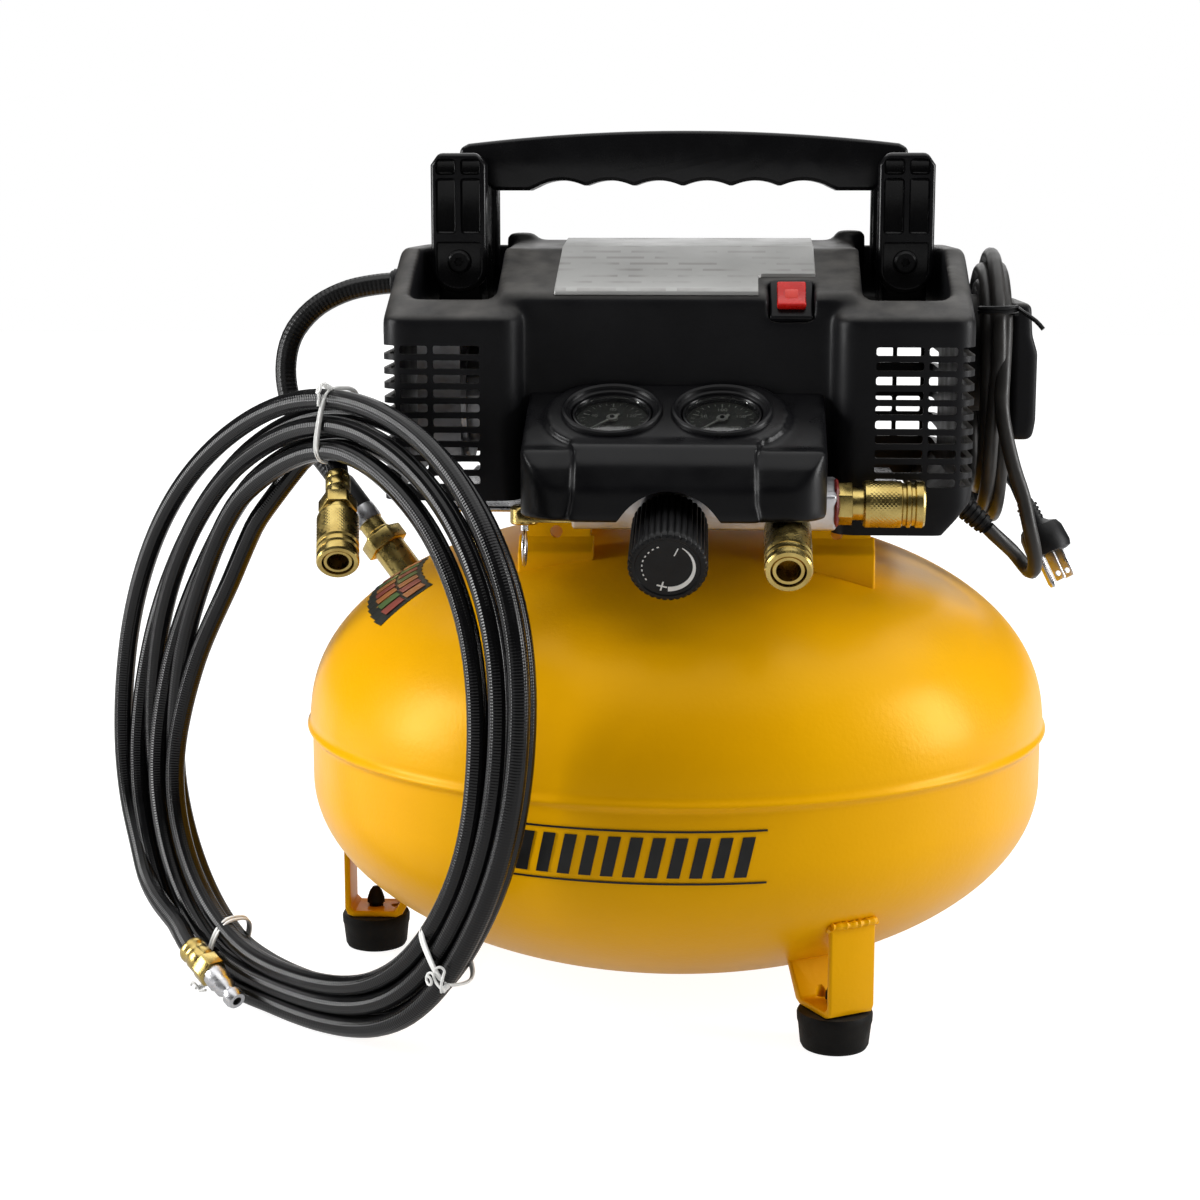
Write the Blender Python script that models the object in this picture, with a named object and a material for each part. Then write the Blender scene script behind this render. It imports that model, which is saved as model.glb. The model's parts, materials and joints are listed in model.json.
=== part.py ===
"""Portable pancake air compressor with an oil-free belt-driven pump.

Metres, +Z up, -Y is the front (gauges and knob), +X is the cord side. The origin is on the floor at the
middle of the machine. Everything is drawn about the tank's axis and moved by ORIGIN_SHIFT at the end.
"""
import math

import bmesh
import bpy
from mathutils import Matrix, Vector

# ---------------------------------------------------------------- driving dimensions (metres)
GAP = 0.0003                      # clearance between pieces that touch
ORIGIN_SHIFT = 0.0135             # tank axis to the middle of the machine, along X

TANK_RADIUS = 0.2095
SEAM_Z = 0.1430                   # weld between the two tank halves
SEAM_RIDGE = 0.0025
TANK_WALL = 0.0022
DOME_HEIGHT, DOME_POWER = 0.1127, 2.187
DOME_STRAIGHT = 0.0026            # cylindrical part above the seam
BELLY_HEIGHT, BELLY_POWER = 0.1063, 2.0
BELLY_STRAIGHT = 0.0300
TANK_SEGMENTS = 40

FOOT_ANGLES = (-90.0, 30.0, 150.0)    # degrees from the front towards +X
FOOT_RADIUS = 0.1765              # foot centre from the tank axis
FOOT_HEIGHT = 0.0203
RUBBER_TOP, RUBBER_BOTTOM = 0.0195, 0.0180
STRAP_WIDTH, STRAP_THICK = 0.0270, 0.0035

HEAD_X = 0.0030                   # middle of the pump cover
COVER_HALF_WIDTH = 0.1535
RECESS_HALF_WIDTH = 0.0810
BLOCK_DEPTH, CENTRE_DEPTH = 0.1200, 0.1050
BLOCK_EDGE_Z, BLOCK_TOP_Z = 0.3765, 0.4110
CENTRE_EDGE_Z, CENTRE_TOP_Z = 0.3895, 0.4145
COVER_WALL = 0.0030
LEFT_SKIRT_Z, CENTRE_SKIRT_Z, RIGHT_SKIRT_Z = 0.2820, 0.2720, 0.2655
SLOT_COUNT, SLOT_PITCH, SLOT_HEIGHT, SLOT_TOP_Z = 10, 0.0075, 0.0044, 0.3625
REAR_SLOT_COUNT, REAR_SLOT_PITCH, REAR_SLOT_HEIGHT = 5, 0.0150, 0.0095

TOWER_OFFSET = 0.1215             # handle tower from the cover's middle
TOWER_HALF_WIDTH, TOWER_DEPTH = 0.0152, 0.0400
TOWER_FOOT_Z, TOWER_TOP_Z = 0.3862, 0.4616
GRIP_HALF_DEPTH = 0.0145
GRIP_CROWN_Z, GRIP_END_Z, GRIP_UNDER_Z = 0.4740, 0.4665, 0.4470
SCALLOP_PITCH, SCALLOP_DEPTH = 0.0268, 0.0032
GRIP_END_DROP = 0.0055            # plain ends of the grip's underside

TILT = math.radians(24.0)         # console, knob and front coupler lean forward
MANIFOLD = Vector((0.0, -0.1340, 0.2838))
KNOB_X, FRONT_COUPLER_X = 0.0008, 0.0600
KNOB_RADIUS, KNOB_FACE = 0.0200, 0.0620
GAUGE_XS = (-0.0297, 0.0265)
GAUGE_Y, GAUGE_Z = -0.1325, 0.3305
GAUGE_RADIUS = 0.0205
COUPLER_RADIUS = 0.0120

PUMP_AXIS = Vector((-0.0430, 0.0, 0.3310))
MOTOR_AXIS = Vector((0.0620, 0.0, 0.3270))
PULLEY_Y = 0.0700
FLYWHEEL_RADIUS, PULLEY_RADIUS = 0.0420, 0.0105
BORE_RADIUS = 0.0280

CORD_RADIUS = 0.0040
WRAP_DRUM_RADIUS, WRAP_DRUM_Z = 0.0330, 0.3520
HOSE_RADIUS = 0.0050              # accessory air hose
DISCHARGE_RADIUS = 0.0062         # pump-to-tank hose
COIL_AZIMUTH, COIL_LEAN = math.radians(42.0), math.radians(4.4)
COIL_MIDDLE, COIL_REST = (-0.0520, 0.1705), 0.0060
COIL_OUTER = (0.1590, 0.1670, 0.1690, 0.1650, 0.1620, 0.1670, 0.1750, 0.1860, 0.1815, 0.1650, 0.1670, 0.1590)
COIL_INNER = (0.1310, 0.1340, 0.1370, 0.1380, 0.1210, 0.1080, 0.1180, 0.1410, 0.1505, 0.1440, 0.1440, 0.1370)
COIL_DISTANCE = 0.2195            # coil plane from the tank axis at seam height

# Routes, in metres about the tank axis, before ORIGIN_SHIFT.
DISCHARGE_ROUTE = (
    (-0.1406, 0.0600, 0.3880), (-0.1570, 0.0600, 0.3880), (-0.1760, 0.0600, 0.3872),
    (-0.1970, 0.0590, 0.3830), (-0.2160, 0.0570, 0.3730), (-0.2290, 0.0540, 0.3570),
    (-0.2330, 0.0505, 0.3370), (-0.2290, 0.0460, 0.3160), (-0.2180, 0.0400, 0.2960),
    (-0.2040, 0.0335, 0.2790), (-0.1920, 0.0275, 0.2650), (-0.1845, 0.0240, 0.2560),
)
LEAD_ROUTE = (
    (0.1722, -0.0446, 0.2592), (0.1759, -0.0446, 0.2560), (0.1806, -0.0405, 0.2500),
    (0.1860, -0.0320, 0.2438), (0.1912, -0.0300, 0.2402), (0.1943, -0.0385, 0.2430),
    (0.1943, -0.0495, 0.2530), (0.1918, -0.0562, 0.2665), (0.1885, -0.0588, 0.2790),
    (0.1835, -0.0600, 0.2937), (0.1785, -0.0595, 0.3124), (0.1755, -0.0585, 0.3284),
    (0.1742, -0.0578, 0.3450),
)
TAIL_ROUTE = (
    (0.1790, 0.0565, 0.3280), (0.1835, 0.0570, 0.3120), (0.1880, 0.0545, 0.2970),
    (0.1905, 0.0455, 0.2860), (0.1920, 0.0320, 0.2795), (0.1930, 0.0170, 0.2780),
    (0.1942, 0.0060, 0.2755), (0.1960, 0.0005, 0.2707), (0.1985, -0.0010, 0.2655),
)
PLUG_AXIS = Vector((0.42, -0.25, -0.87)).normalized()


# ---------------------------------------------------------------- small helpers
def clear_scene():
    for obj in list(bpy.data.objects):
        bpy.data.objects.remove(obj)


def material(name, color, roughness, metallic=0.0):
    mat = bpy.data.materials.new(name)
    mat.use_nodes = True
    shader = mat.node_tree.nodes["Principled BSDF"]
    shader.inputs["Base Color"].default_value = (*color, 1.0)
    shader.inputs["Roughness"].default_value = roughness
    shader.inputs["Metallic"].default_value = metallic
    return mat


def add_object(name, bm, mat=None):
    bmesh.ops.recalc_face_normals(bm, faces=bm.faces)
    mesh = bpy.data.meshes.new(name)
    bm.to_mesh(mesh)
    bm.free()
    obj = bpy.data.objects.new(name, mesh)
    bpy.context.scene.collection.objects.link(obj)
    if mat:
        mesh.materials.append(mat)
    return obj


def prism(name, outline, axis, low, high, mat=None):
    """Extrude an outline: axis X takes (y, z) points, Y takes (x, z) and Z takes (x, y)."""
    order = {"X": (2, 0, 1), "Y": (0, 2, 1), "Z": (0, 1, 2)}[axis]
    bm = bmesh.new()
    ends = []
    for level in (low, high):
        ring = []
        for first, second in outline:
            values = (first, second, level)
            ring.append(bm.verts.new([values[i] for i in order]))
        ends.append(ring)
    bm.faces.new(ends[0])
    bm.faces.new(list(reversed(ends[1])))
    for i in range(len(outline)):
        j = (i + 1) % len(outline)
        bm.faces.new((ends[0][i], ends[1][i], ends[1][j], ends[0][j]))
    return add_object(name, bm, mat)


def box(name, low, high, mat=None):
    outline = [(low[0], low[1]), (high[0], low[1]), (high[0], high[1]), (low[0], high[1])]
    return prism(name, outline, "Z", low[2], high[2], mat)


def turned(name, profile, mat=None, segments=32, closed=False):
    """Turn an outline of (radius, height) points about Z; closed joins its last point to its first."""
    bm = bmesh.new()
    rings = []
    for radius, height in profile:
        if radius < 1e-6:
            rings.append([bm.verts.new((0.0, 0.0, height))])
            continue
        turns = [2.0 * math.pi * i / segments for i in range(segments)]
        rings.append([bm.verts.new((radius * math.cos(a), radius * math.sin(a), height)) for a in turns])
    pairs = list(zip(rings, rings[1:]))
    if closed:
        pairs.append((rings[-1], rings[0]))
    for first, second in pairs:
        for i in range(segments):
            j = (i + 1) % segments
            corners = (first[i % len(first)], first[j % len(first)],
                       second[j % len(second)], second[i % len(second)])
            corners = list(dict.fromkeys(corners))
            if len(corners) > 2:
                bm.faces.new(corners)
    obj = add_object(name, bm, mat)
    obj.data.shade_smooth()
    obj.data.set_sharp_from_angle(angle=math.radians(35.0))
    return obj


def cylinder(name, radius, low, high, mat=None, segments=32):
    return turned(name, [(0, low), (radius, low), (radius, high), (0, high)], mat, segments)


def place(obj, location, rotation=(0.0, 0.0, 0.0)):
    obj.location = location
    obj.rotation_euler = rotation
    return obj


def aim(obj, location, direction):
    """Put a piece drawn about Z at location, with its Z along direction."""
    obj.location = location
    obj.rotation_euler = Vector(direction).to_track_quat("Z", "Y").to_euler()
    return obj


def bevel(obj, width, segments=2, angle=30.0):
    mod = obj.modifiers.new("Bevel", "BEVEL")
    mod.width = width
    mod.segments = segments
    mod.limit_method = "ANGLE"
    mod.angle_limit = math.radians(angle)
    return obj


def boolean(obj, other, operation="DIFFERENCE"):
    mod = obj.modifiers.new(other.name, "BOOLEAN")
    mod.object = other
    mod.operation = operation
    mod.solver = "EXACT"
    other.hide_render = True
    other.display_type = "WIRE"
    return obj


def join(name, pieces):
    """One cutter made of several solids that do not touch each other."""
    bm = bmesh.new()
    for piece in pieces:
        piece.data.transform(piece.matrix_basis)
        bm.from_mesh(piece.data)
        bpy.data.objects.remove(piece)
    return add_object(name, bm)


def smooth_route(points, spacing):
    """Even points along a Catmull-Rom curve through the route's points."""
    points = [Vector(p) for p in points]
    padded = [2 * points[0] - points[1], *points, 2 * points[-1] - points[-2]]
    fine = []
    for a, b, c, d in zip(padded, padded[1:], padded[2:], padded[3:]):
        for step in range(12):
            t = step / 12.0
            fine.append(0.5 * (2 * b + (c - a) * t + (2 * a - 5 * b + 4 * c - d) * t ** 2
                               + (3 * b - a - 3 * c + d) * t ** 3))
    fine.append(points[-1])
    total = sum((q - p).length for p, q in zip(fine, fine[1:]))
    count = max(2, round(total / spacing))
    even, walked, target = [fine[0]], 0.0, total / count
    for p, q in zip(fine, fine[1:]):
        length = (q - p).length
        while walked + length >= target - 1e-9 and len(even) < count:
            even.append(p.lerp(q, (target - walked) / length))
            target += total / count
        walked += length
    return even + [fine[-1]]


def tube(name, points, radius, mat):
    curve = bpy.data.curves.new(name, "CURVE")
    curve.dimensions = "3D"
    curve.bevel_depth = radius
    curve.bevel_resolution = 2
    curve.render_resolution_u = 0
    curve.use_fill_caps = True
    spline = curve.splines.new("POLY")
    spline.points.add(len(points) - 1)
    for point, co in zip(spline.points, points):
        point.co = (*co, 1.0)
    curve.materials.append(mat)
    obj = bpy.data.objects.new(name, curve)
    bpy.context.scene.collection.objects.link(obj)
    return obj


def ring_solid(name, centres, sides, half_width, half_thick, normal, mat):
    """A closed fat ring: an octagonal section carried round a loop of centres."""
    corner = 0.45
    section = ((1, -corner), (1, corner), (corner, 1), (-corner, 1),
               (-1, corner), (-1, -corner), (-corner, -1), (corner, -1))
    bm = bmesh.new()
    rings = []
    for centre, side, width in zip(centres, sides, half_width):
        rings.append([bm.verts.new(centre + side * (u * width) + normal * (v * half_thick)) for u, v in section])
    for first, second in zip(rings, rings[1:] + rings[:1]):
        for i in range(len(section)):
            j = (i + 1) % len(section)
            bm.faces.new((first[i], first[j], second[j], second[i]))
    return add_object(name, bm, mat)


# ---------------------------------------------------------------- tank
def dome_profile(inset, count=8):
    """(radius, height) from the pole to the seam, on a superellipse."""
    points = []
    for i in range(count):
        t = 0.5 * math.pi * i / (count - 1)
        radius = (TANK_RADIUS - inset) * math.sin(t) ** (2.0 / DOME_POWER)
        height = (DOME_HEIGHT - inset) * max(0.0, math.cos(t)) ** (2.0 / DOME_POWER)
        points.append((radius, SEAM_Z + DOME_STRAIGHT + height))
    return points


def belly_profile(inset, count=8):
    points = []
    for i in range(count):
        t = 0.5 * math.pi * i / (count - 1)
        radius = (TANK_RADIUS - inset) * math.sin(t) ** (2.0 / BELLY_POWER)
        height = (BELLY_HEIGHT - inset) * max(0.0, math.cos(t)) ** (2.0 / BELLY_POWER)
        points.append((radius, SEAM_Z - BELLY_STRAIGHT - height))
    return points


def dome_z(radius):
    share = (radius / TANK_RADIUS) ** DOME_POWER
    return SEAM_Z + DOME_STRAIGHT + DOME_HEIGHT * (1.0 - share) ** (1.0 / DOME_POWER)


def belly_z(radius):
    share = (radius / TANK_RADIUS) ** BELLY_POWER
    return SEAM_Z - BELLY_STRAIGHT - BELLY_HEIGHT * (1.0 - share) ** (1.0 / BELLY_POWER)


def make_tank(paint):
    """Two pressed halves, open at the seam, with a rolled ridge where they are welded."""
    for name, profile, sign in (("tank_upper", dome_profile, 1.0), ("tank_lower", belly_profile, -1.0)):
        rim = SEAM_Z + sign * 0.5 * GAP
        outside = profile(0.0)
        inside = profile(TANK_WALL, 5)
        ridge = [(TANK_RADIUS, SEAM_Z + sign * 0.0060), (TANK_RADIUS + SEAM_RIDGE, SEAM_Z + sign * 0.0025),
                 (TANK_RADIUS + SEAM_RIDGE, rim), (TANK_RADIUS - TANK_WALL, rim)]
        if sign > 0:
            ridge[0] = (TANK_RADIUS + 0.0006, SEAM_Z + 0.0050)
            outside = outside[:-1] + [(TANK_RADIUS, SEAM_Z + 0.0110)]
        turned(name, outside + ridge + inside[::-1], paint, segments=TANK_SEGMENTS)


def tank_cutter(name):
    """The tank's outside, grown by the gap, to trim what is welded to it."""
    dome = dome_profile(-GAP)
    belly = belly_profile(-GAP)
    return turned(name, dome + belly[::-1], segments=TANK_SEGMENTS)


# ---------------------------------------------------------------- feet
def foot_frame(angle):
    turn = math.radians(angle)
    return Vector((math.sin(turn), -math.cos(turn), 0.0)), turn


def make_feet(paint, rubber):
    """A bent strap welded under the tank, with a rubber foot held by its own nub."""
    outer, inner, top = 0.1930, 0.1600, 0.0860
    low = FOOT_HEIGHT + GAP
    t = STRAP_THICK
    strap = [(outer, top), (outer, low + 0.005), (outer - 0.0015, low + 0.0015), (outer - 0.005, low),
             (inner + 0.003, low), (inner - 0.001, low + 0.002), (inner - 0.0190, low + 0.0360),
             (inner - 0.0190 + 1.15 * t, low + 0.0360), (inner + 0.0035, low + t), (outer - 0.006, low + t),
             (outer - t, low + 0.006), (outer - t, top)]
    for index, angle in enumerate(FOOT_ANGLES, start=1):
        direction, turn = foot_frame(angle)
        bracket = prism(f"foot_bracket_{index}", [(-r, z) for r, z in strap], "X",
                        -0.5 * STRAP_WIDTH, 0.5 * STRAP_WIDTH, paint)
        bracket.rotation_euler = (0.0, 0.0, turn)
        boolean(bracket, tank_cutter(f"cut_tank_foot_{index}"))
        hole = cylinder(f"cut_nub_{index}", 0.0042, low - 0.002, low + 0.008, segments=12)
        hole.location = direction * FOOT_RADIUS
        boolean(bracket, hole)
        spare = cylinder(f"cut_spare_{index}", 0.0036, low - 0.002, low + 0.008, segments=10)
        spare.location = direction * (FOOT_RADIUS - 0.0100)
        boolean(bracket, spare)
        foot = turned(f"rubber_foot_{index}", [
            (0, 0), (RUBBER_BOTTOM - 0.002, 0), (RUBBER_BOTTOM, 0.002), (RUBBER_TOP, FOOT_HEIGHT - 0.002),
            (RUBBER_TOP - 0.001, FOOT_HEIGHT), (0.0036, FOOT_HEIGHT), (0.0036, 0.0330), (0.0020, 0.0355),
            (0, 0.0355)], rubber, segments=16)
        foot.location = direction * FOOT_RADIUS


# ---------------------------------------------------------------- pump frame
def make_pump_frame(paint, steel):
    """Two hat straps welded over the dome and the plate that carries motor and pump."""
    top, leg, t = 0.2725, 0.0850, 0.0030
    hat = [(-leg, 0.236), (-leg, top), (leg, top), (leg, 0.236), (leg - t, 0.236), (leg - t, top - t),
           (t - leg, top - t), (t - leg, 0.236)]
    for name, left, right in (("pump_bracket_left", -0.0800, -0.0440), ("pump_bracket_right", 0.0700, 0.1060)):
        strap = prism(name, hat, "X", left, right, paint)
        boolean(strap, tank_cutter(f"cut_tank_{name}"))
        hole = cylinder(f"cut_hole_{name}", 0.0033, -0.1, 0.1, segments=10)
        place(hole, (0.5 * (left + right), 0.0, 0.2612), (0.5 * math.pi, 0.0, 0.0))
        boolean(strap, hole)
    plate = box("base_plate", (-0.1250, -0.0950, top + GAP), (0.1280, 0.0950, top + GAP + 0.0030), steel)
    bevel(plate, 0.001, 1)


# ---------------------------------------------------------------- pump cover
def rounded_plan(low, high, radius, steps=2):
    """A rectangle in plan with round corners, as (x, y) points."""
    points = []
    corners = ((high[0] - radius, high[1] - radius, 0.0), (low[0] + radius, high[1] - radius, 90.0),
               (low[0] + radius, low[1] + radius, 180.0), (high[0] - radius, low[1] + radius, 270.0))
    for x, y, first in corners:
        for i in range(steps + 1):
            turn = math.radians(first + 90.0 * i / steps)
            points.append((x + radius * math.cos(turn), y + radius * math.sin(turn)))
    return points


def loft(name, levels, mat=None):
    """Join plan outlines, given as (z, points), into a solid."""
    bm = bmesh.new()
    rings = [[bm.verts.new((x, y, z)) for x, y in points] for z, points in levels]
    for first, second in zip(rings, rings[1:]):
        for i in range(len(first)):
            j = (i + 1) % len(first)
            bm.faces.new((first[i], first[j], second[j], second[i]))
    bm.faces.new(list(reversed(rings[0])))
    bm.faces.new(rings[-1])
    return add_object(name, bm, mat)


def cover_form(name, inset, bottom):
    """The cover's outline as a solid: a low centre between two deeper side blocks."""
    depth, edge, crown = CENTRE_DEPTH - inset, CENTRE_EDGE_Z - 0.6 * inset, CENTRE_TOP_Z - inset
    outline = [(-depth, bottom), (-depth, edge - 0.004), (-depth + 0.004, edge), (-0.0400, crown - 0.004),
               (0.0, crown), (0.0400, crown - 0.004), (depth - 0.004, edge), (depth, edge - 0.004),
               (depth, bottom)]
    reach = RECESS_HALF_WIDTH + 0.0120
    centre = prism(name, outline, "X", HEAD_X - reach, HEAD_X + reach)
    depth, edge, crown = BLOCK_DEPTH - inset, BLOCK_EDGE_Z - 0.6 * inset, BLOCK_TOP_Z - inset
    shoulder, radius = 0.0440 + 0.0085 - inset, 0.0095 - inset
    for label, low, high in (("left", -COVER_HALF_WIDTH, -RECESS_HALF_WIDTH),
                             ("right", RECESS_HALF_WIDTH, COVER_HALF_WIDTH)):
        low, high = HEAD_X + low + inset, HEAD_X + high - inset
        levels = []
        for z, reach in ((bottom - 0.005, depth), (edge, depth), (crown - 0.0030, shoulder)):
            levels.append((z, rounded_plan((low, -reach), (high, reach), radius)))
        levels.append((crown, rounded_plan((low + 0.003, -shoulder + 0.005), (high - 0.003, shoulder - 0.005),
                                           radius - 0.003)))
        boolean(centre, loft(f"{name}_{label}", levels), "UNION")
    return centre


def cover_notches(name, grow):
    """What the cover is pressed in by: two handle pockets, the switch pocket and the slanted chin."""
    pieces = []
    for side in (-1.0, 1.0):
        middle = HEAD_X + side * (TOWER_OFFSET - 0.0030)
        pocket = box(f"{name}_pocket", (middle - 0.0225 - grow, -0.0990 - grow, 0.3800 - grow),
                     (middle + 0.0225 + grow, 0.0450 + grow, 0.4400))
        pieces.append(pocket)
    switch = box(f"{name}_switch", (-0.01475 - grow, -0.0135 - grow, -0.0065 - grow),
                 (0.01475 + grow, 0.0135 + grow, 0.0300))
    pieces.append(place(switch, SWITCH_CENTRE, (SWITCH_TILT, 0.0, 0.0)))
    chin = [(HEAD_X + 0.1250, 0.2509), (HEAD_X + 0.1650, 0.2966), (0.2300, 0.2966), (0.2300, 0.2509)]
    chin = [(x - grow * 0.76, z + grow * 0.65) for x, z in chin]
    pieces.append(prism(f"{name}_chin", chin, "Y", -0.1400, 0.1400))
    return join(name, pieces)


def slot_cutter(name, side):
    """Louvres round each front or rear corner, each crossed by a rib; the rear ones are coarser."""
    pieces = []
    count, pitch, height = SLOT_COUNT, SLOT_PITCH, SLOT_HEIGHT
    if side > 0:
        count, pitch, height = REAR_SLOT_COUNT, REAR_SLOT_PITCH, REAR_SLOT_HEIGHT
    for index in range(count):
        high = SLOT_TOP_Z - index * pitch
        low = high - height
        for hand in (-1.0, 1.0):
            for start, end in ((0.1020, 0.1265), (0.1290, 0.1700)):
                xs = sorted((HEAD_X + hand * start, HEAD_X + hand * end))
                ys = sorted((side * 0.0700, side * 0.1350))
                pieces.append(box("slot", (xs[0], ys[0], low), (xs[1], ys[1], high)))
    return join(name, pieces)


def skirt_trim(name):
    """Cuts the cover's lower edge, which is highest on the left and lowest on the right."""
    left = HEAD_X - RECESS_HALF_WIDTH
    right = HEAD_X + RECESS_HALF_WIDTH
    steps = [(-0.2, 0.1), (0.2, 0.1), (0.2, RIGHT_SKIRT_Z), (right, RIGHT_SKIRT_Z), (right, CENTRE_SKIRT_Z),
             (left, CENTRE_SKIRT_Z), (left, LEFT_SKIRT_Z), (-0.2, LEFT_SKIRT_Z)]
    return prism(name, steps, "Y", -0.2, 0.2)


def make_cover(plastic):
    """Front and rear shells that meet on the machine's middle plane."""
    for name, side in (("cover_front", -1.0), ("cover_rear", 1.0)):
        shell = cover_form(name, 0.0, 0.2450)
        shell.data.materials.append(plastic)
        boolean(shell, cover_notches(f"cut_notches_{name}", 0.0))
        hollow = cover_form(f"cut_hollow_{name}", COVER_WALL, 0.2300)
        boolean(hollow, cover_notches(f"cut_hollow_notches_{name}", COVER_WALL))
        boolean(shell, hollow)
        boolean(shell, skirt_trim(f"cut_skirt_{name}"))
        boolean(shell, slot_cutter(f"cut_slots_{name}", side))
        ys = sorted((side * 0.5 * GAP, -side * 0.3))
        other = box(f"cut_half_{name}", (-0.3, ys[0], 0.1), (0.3, ys[1], 0.6))
        boolean(shell, other)
        if side < 0:
            port = cylinder("cut_manifold_port", 0.0088, -0.05, 0.05, segments=24)
            place(port, (0.0, -0.1040, MANIFOLD.z - 0.0005), (0.5 * math.pi, 0.0, 0.0))
            boolean(shell, port)
        else:
            port = cylinder("cut_hose_port", DISCHARGE_RADIUS + 0.001, -0.02, 0.02, segments=24)
            place(port, (HEAD_X - COVER_HALF_WIDTH, 0.0600, 0.3880), (0.0, 0.5 * math.pi, 0.0))
            boolean(shell, port)


# ---------------------------------------------------------------- switch
SWITCH_CENTRE = Vector((0.0618, -0.0955, 0.3850))
SWITCH_TILT = math.radians(46.0)


def make_switch(red):
    """A red rocker, pivoted at the foot of its pocket."""
    rest = math.radians(-6.0)
    profile = [(-0.0040, -0.0055), (0.0040, -0.0055), (0.0085, 0.0030), (0.0085, 0.0045), (0.0, 0.0032),
               (-0.0085, 0.0045), (-0.0085, 0.0030)]
    turned_profile = []
    for y, z in profile:
        turned_profile.append((y * math.cos(rest) - (z + 0.0055) * math.sin(rest),
                               y * math.sin(rest) + (z + 0.0055) * math.cos(rest)))
    rocker = prism("switch_rocker", turned_profile, "X", -0.0075, 0.0075, red)
    pivot = SWITCH_CENTRE + Matrix.Rotation(SWITCH_TILT, 3, "X") @ Vector((0.0, 0.0, -0.0055))
    place(rocker, pivot, (SWITCH_TILT, 0.0, 0.0))
    bevel(rocker, 0.0006, 1)


# ---------------------------------------------------------------- handle
def grip_outline():
    """Arched top, square ends and a scalloped underside, as (x, z) points."""
    reach = TOWER_OFFSET + 0.0020
    points = [(HEAD_X - reach, GRIP_END_Z - 0.0080), (HEAD_X - reach, GRIP_END_Z - 0.0020)]
    for i in range(13):
        share = -0.90 + 1.80 * i / 12
        points.append((HEAD_X + reach * share, GRIP_CROWN_Z - (GRIP_CROWN_Z - GRIP_END_Z) * share ** 2))
    points += [(HEAD_X + reach, GRIP_END_Z - 0.0020), (HEAD_X + reach, GRIP_END_Z - 0.0080)]
    points += [(HEAD_X + 0.1050, GRIP_UNDER_Z - GRIP_END_DROP), (HEAD_X + 0.0850, GRIP_UNDER_Z - GRIP_END_DROP)]
    count, steps = 6, 4
    start = 0.5 * count * SCALLOP_PITCH
    for i in range(count * steps + 1):
        along = start - SCALLOP_PITCH * i / steps
        phase = (i % steps) / steps
        points.append((HEAD_X + along, GRIP_UNDER_Z - SCALLOP_DEPTH * (1.0 - math.sin(math.pi * phase))))
    points += [(HEAD_X - 0.0850, GRIP_UNDER_Z - GRIP_END_DROP), (HEAD_X - 0.1050, GRIP_UNDER_Z - GRIP_END_DROP)]
    return points


def tower_outline(middle):
    """Front face of a handle tower: chamfered top, round foot."""
    half = TOWER_HALF_WIDTH
    points = [(middle - half, TOWER_FOOT_Z + 0.0130), (middle - half, TOWER_TOP_Z - 0.0065),
              (middle - half + 0.0045, TOWER_TOP_Z), (middle + half - 0.0045, TOWER_TOP_Z),
              (middle + half, TOWER_TOP_Z - 0.0065), (middle + half, TOWER_FOOT_Z + 0.0130)]
    for i in range(1, 8):
        turn = math.pi * i / 8
        points.append((middle + half * math.cos(turn), TOWER_FOOT_Z + 0.0130 * (1.0 - math.sin(turn))))
    return points


def make_handle(plastic, steel):
    """Front and rear halves of the carrying handle, screwed together at four tower feet."""
    for name, side in (("handle_front", -1.0), ("handle_rear", 1.0)):
        ys = sorted((side * 0.5 * GAP, side * GRIP_HALF_DEPTH))
        grip = prism(name, grip_outline(), "Y", ys[0], ys[1], plastic)
        recesses = []
        for hand in (-1.0, 1.0):
            middle = HEAD_X + hand * TOWER_OFFSET
            ys = sorted((side * 0.5 * GAP, side * 0.0310))
            core = box(f"add_core_{name}", (middle - 0.0125, ys[0], 0.3803), (middle + 0.0125, ys[1], 0.4590))
            boolean(grip, core, "UNION")
            ys = sorted((side * 0.0280, side * TOWER_DEPTH))
            plate = prism(f"add_plate_{name}", tower_outline(middle), "Y", ys[0], ys[1])
            boolean(grip, plate, "UNION")
            ys = sorted((side * (TOWER_DEPTH - 0.0025), side * (TOWER_DEPTH + 0.01)))
            for left, right, low, high in ((-0.0115, -0.0012, 0.4190, 0.4560), (0.0012, 0.0115, 0.4190, 0.4560),
                                           (-0.0115, 0.0115, 0.3960, 0.4150)):
                recesses.append(box("panel", (middle + left, ys[0], low), (middle + right, ys[1], high)))
        boolean(grip, join(f"cut_panels_{name}", recesses))
        holes = []
        for hand in (-1.0, 1.0):
            hole = cylinder("hole", 0.0034, -0.0110, 0.0110, segments=12)
            middle = HEAD_X + hand * TOWER_OFFSET
            place(hole, (middle, side * 0.0335, 0.4030), (0.5 * math.pi, 0.0, 0.0))
            hole.matrix_basis = Matrix.LocRotScale(hole.location, hole.rotation_euler, None)
            holes.append(hole)
        boolean(grip, join(f"cut_holes_{name}", holes))
        end = "front" if side < 0 else "rear"
        for hand, label in ((-1.0, "left"), (1.0, "right")):
            bolt = turned(f"handle_bolt_{end}_{label}", [
                (0, 0.0032), (0.0050, 0.0028), (0.0065, 0.0014), (0.0065, 0), (0.0030, 0), (0.0030, -0.0080),
                (0, -0.0080)], steel, segments=12)
            face = side * (TOWER_DEPTH - 0.0025 + GAP)
            place(bolt, (HEAD_X + hand * TOWER_OFFSET, face, 0.4030), (-side * 0.5 * math.pi, 0.0, 0.0))


# ---------------------------------------------------------------- console, gauges, regulator
def leaning(depth, height=0.0):
    """A point depth along the knob's axis from the manifold and height square to it."""
    forward = Vector((0.0, -math.cos(TILT), -math.sin(TILT)))
    upward = Vector((0.0, -math.sin(TILT), math.cos(TILT)))
    return MANIFOLD + forward * depth + upward * height


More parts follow.
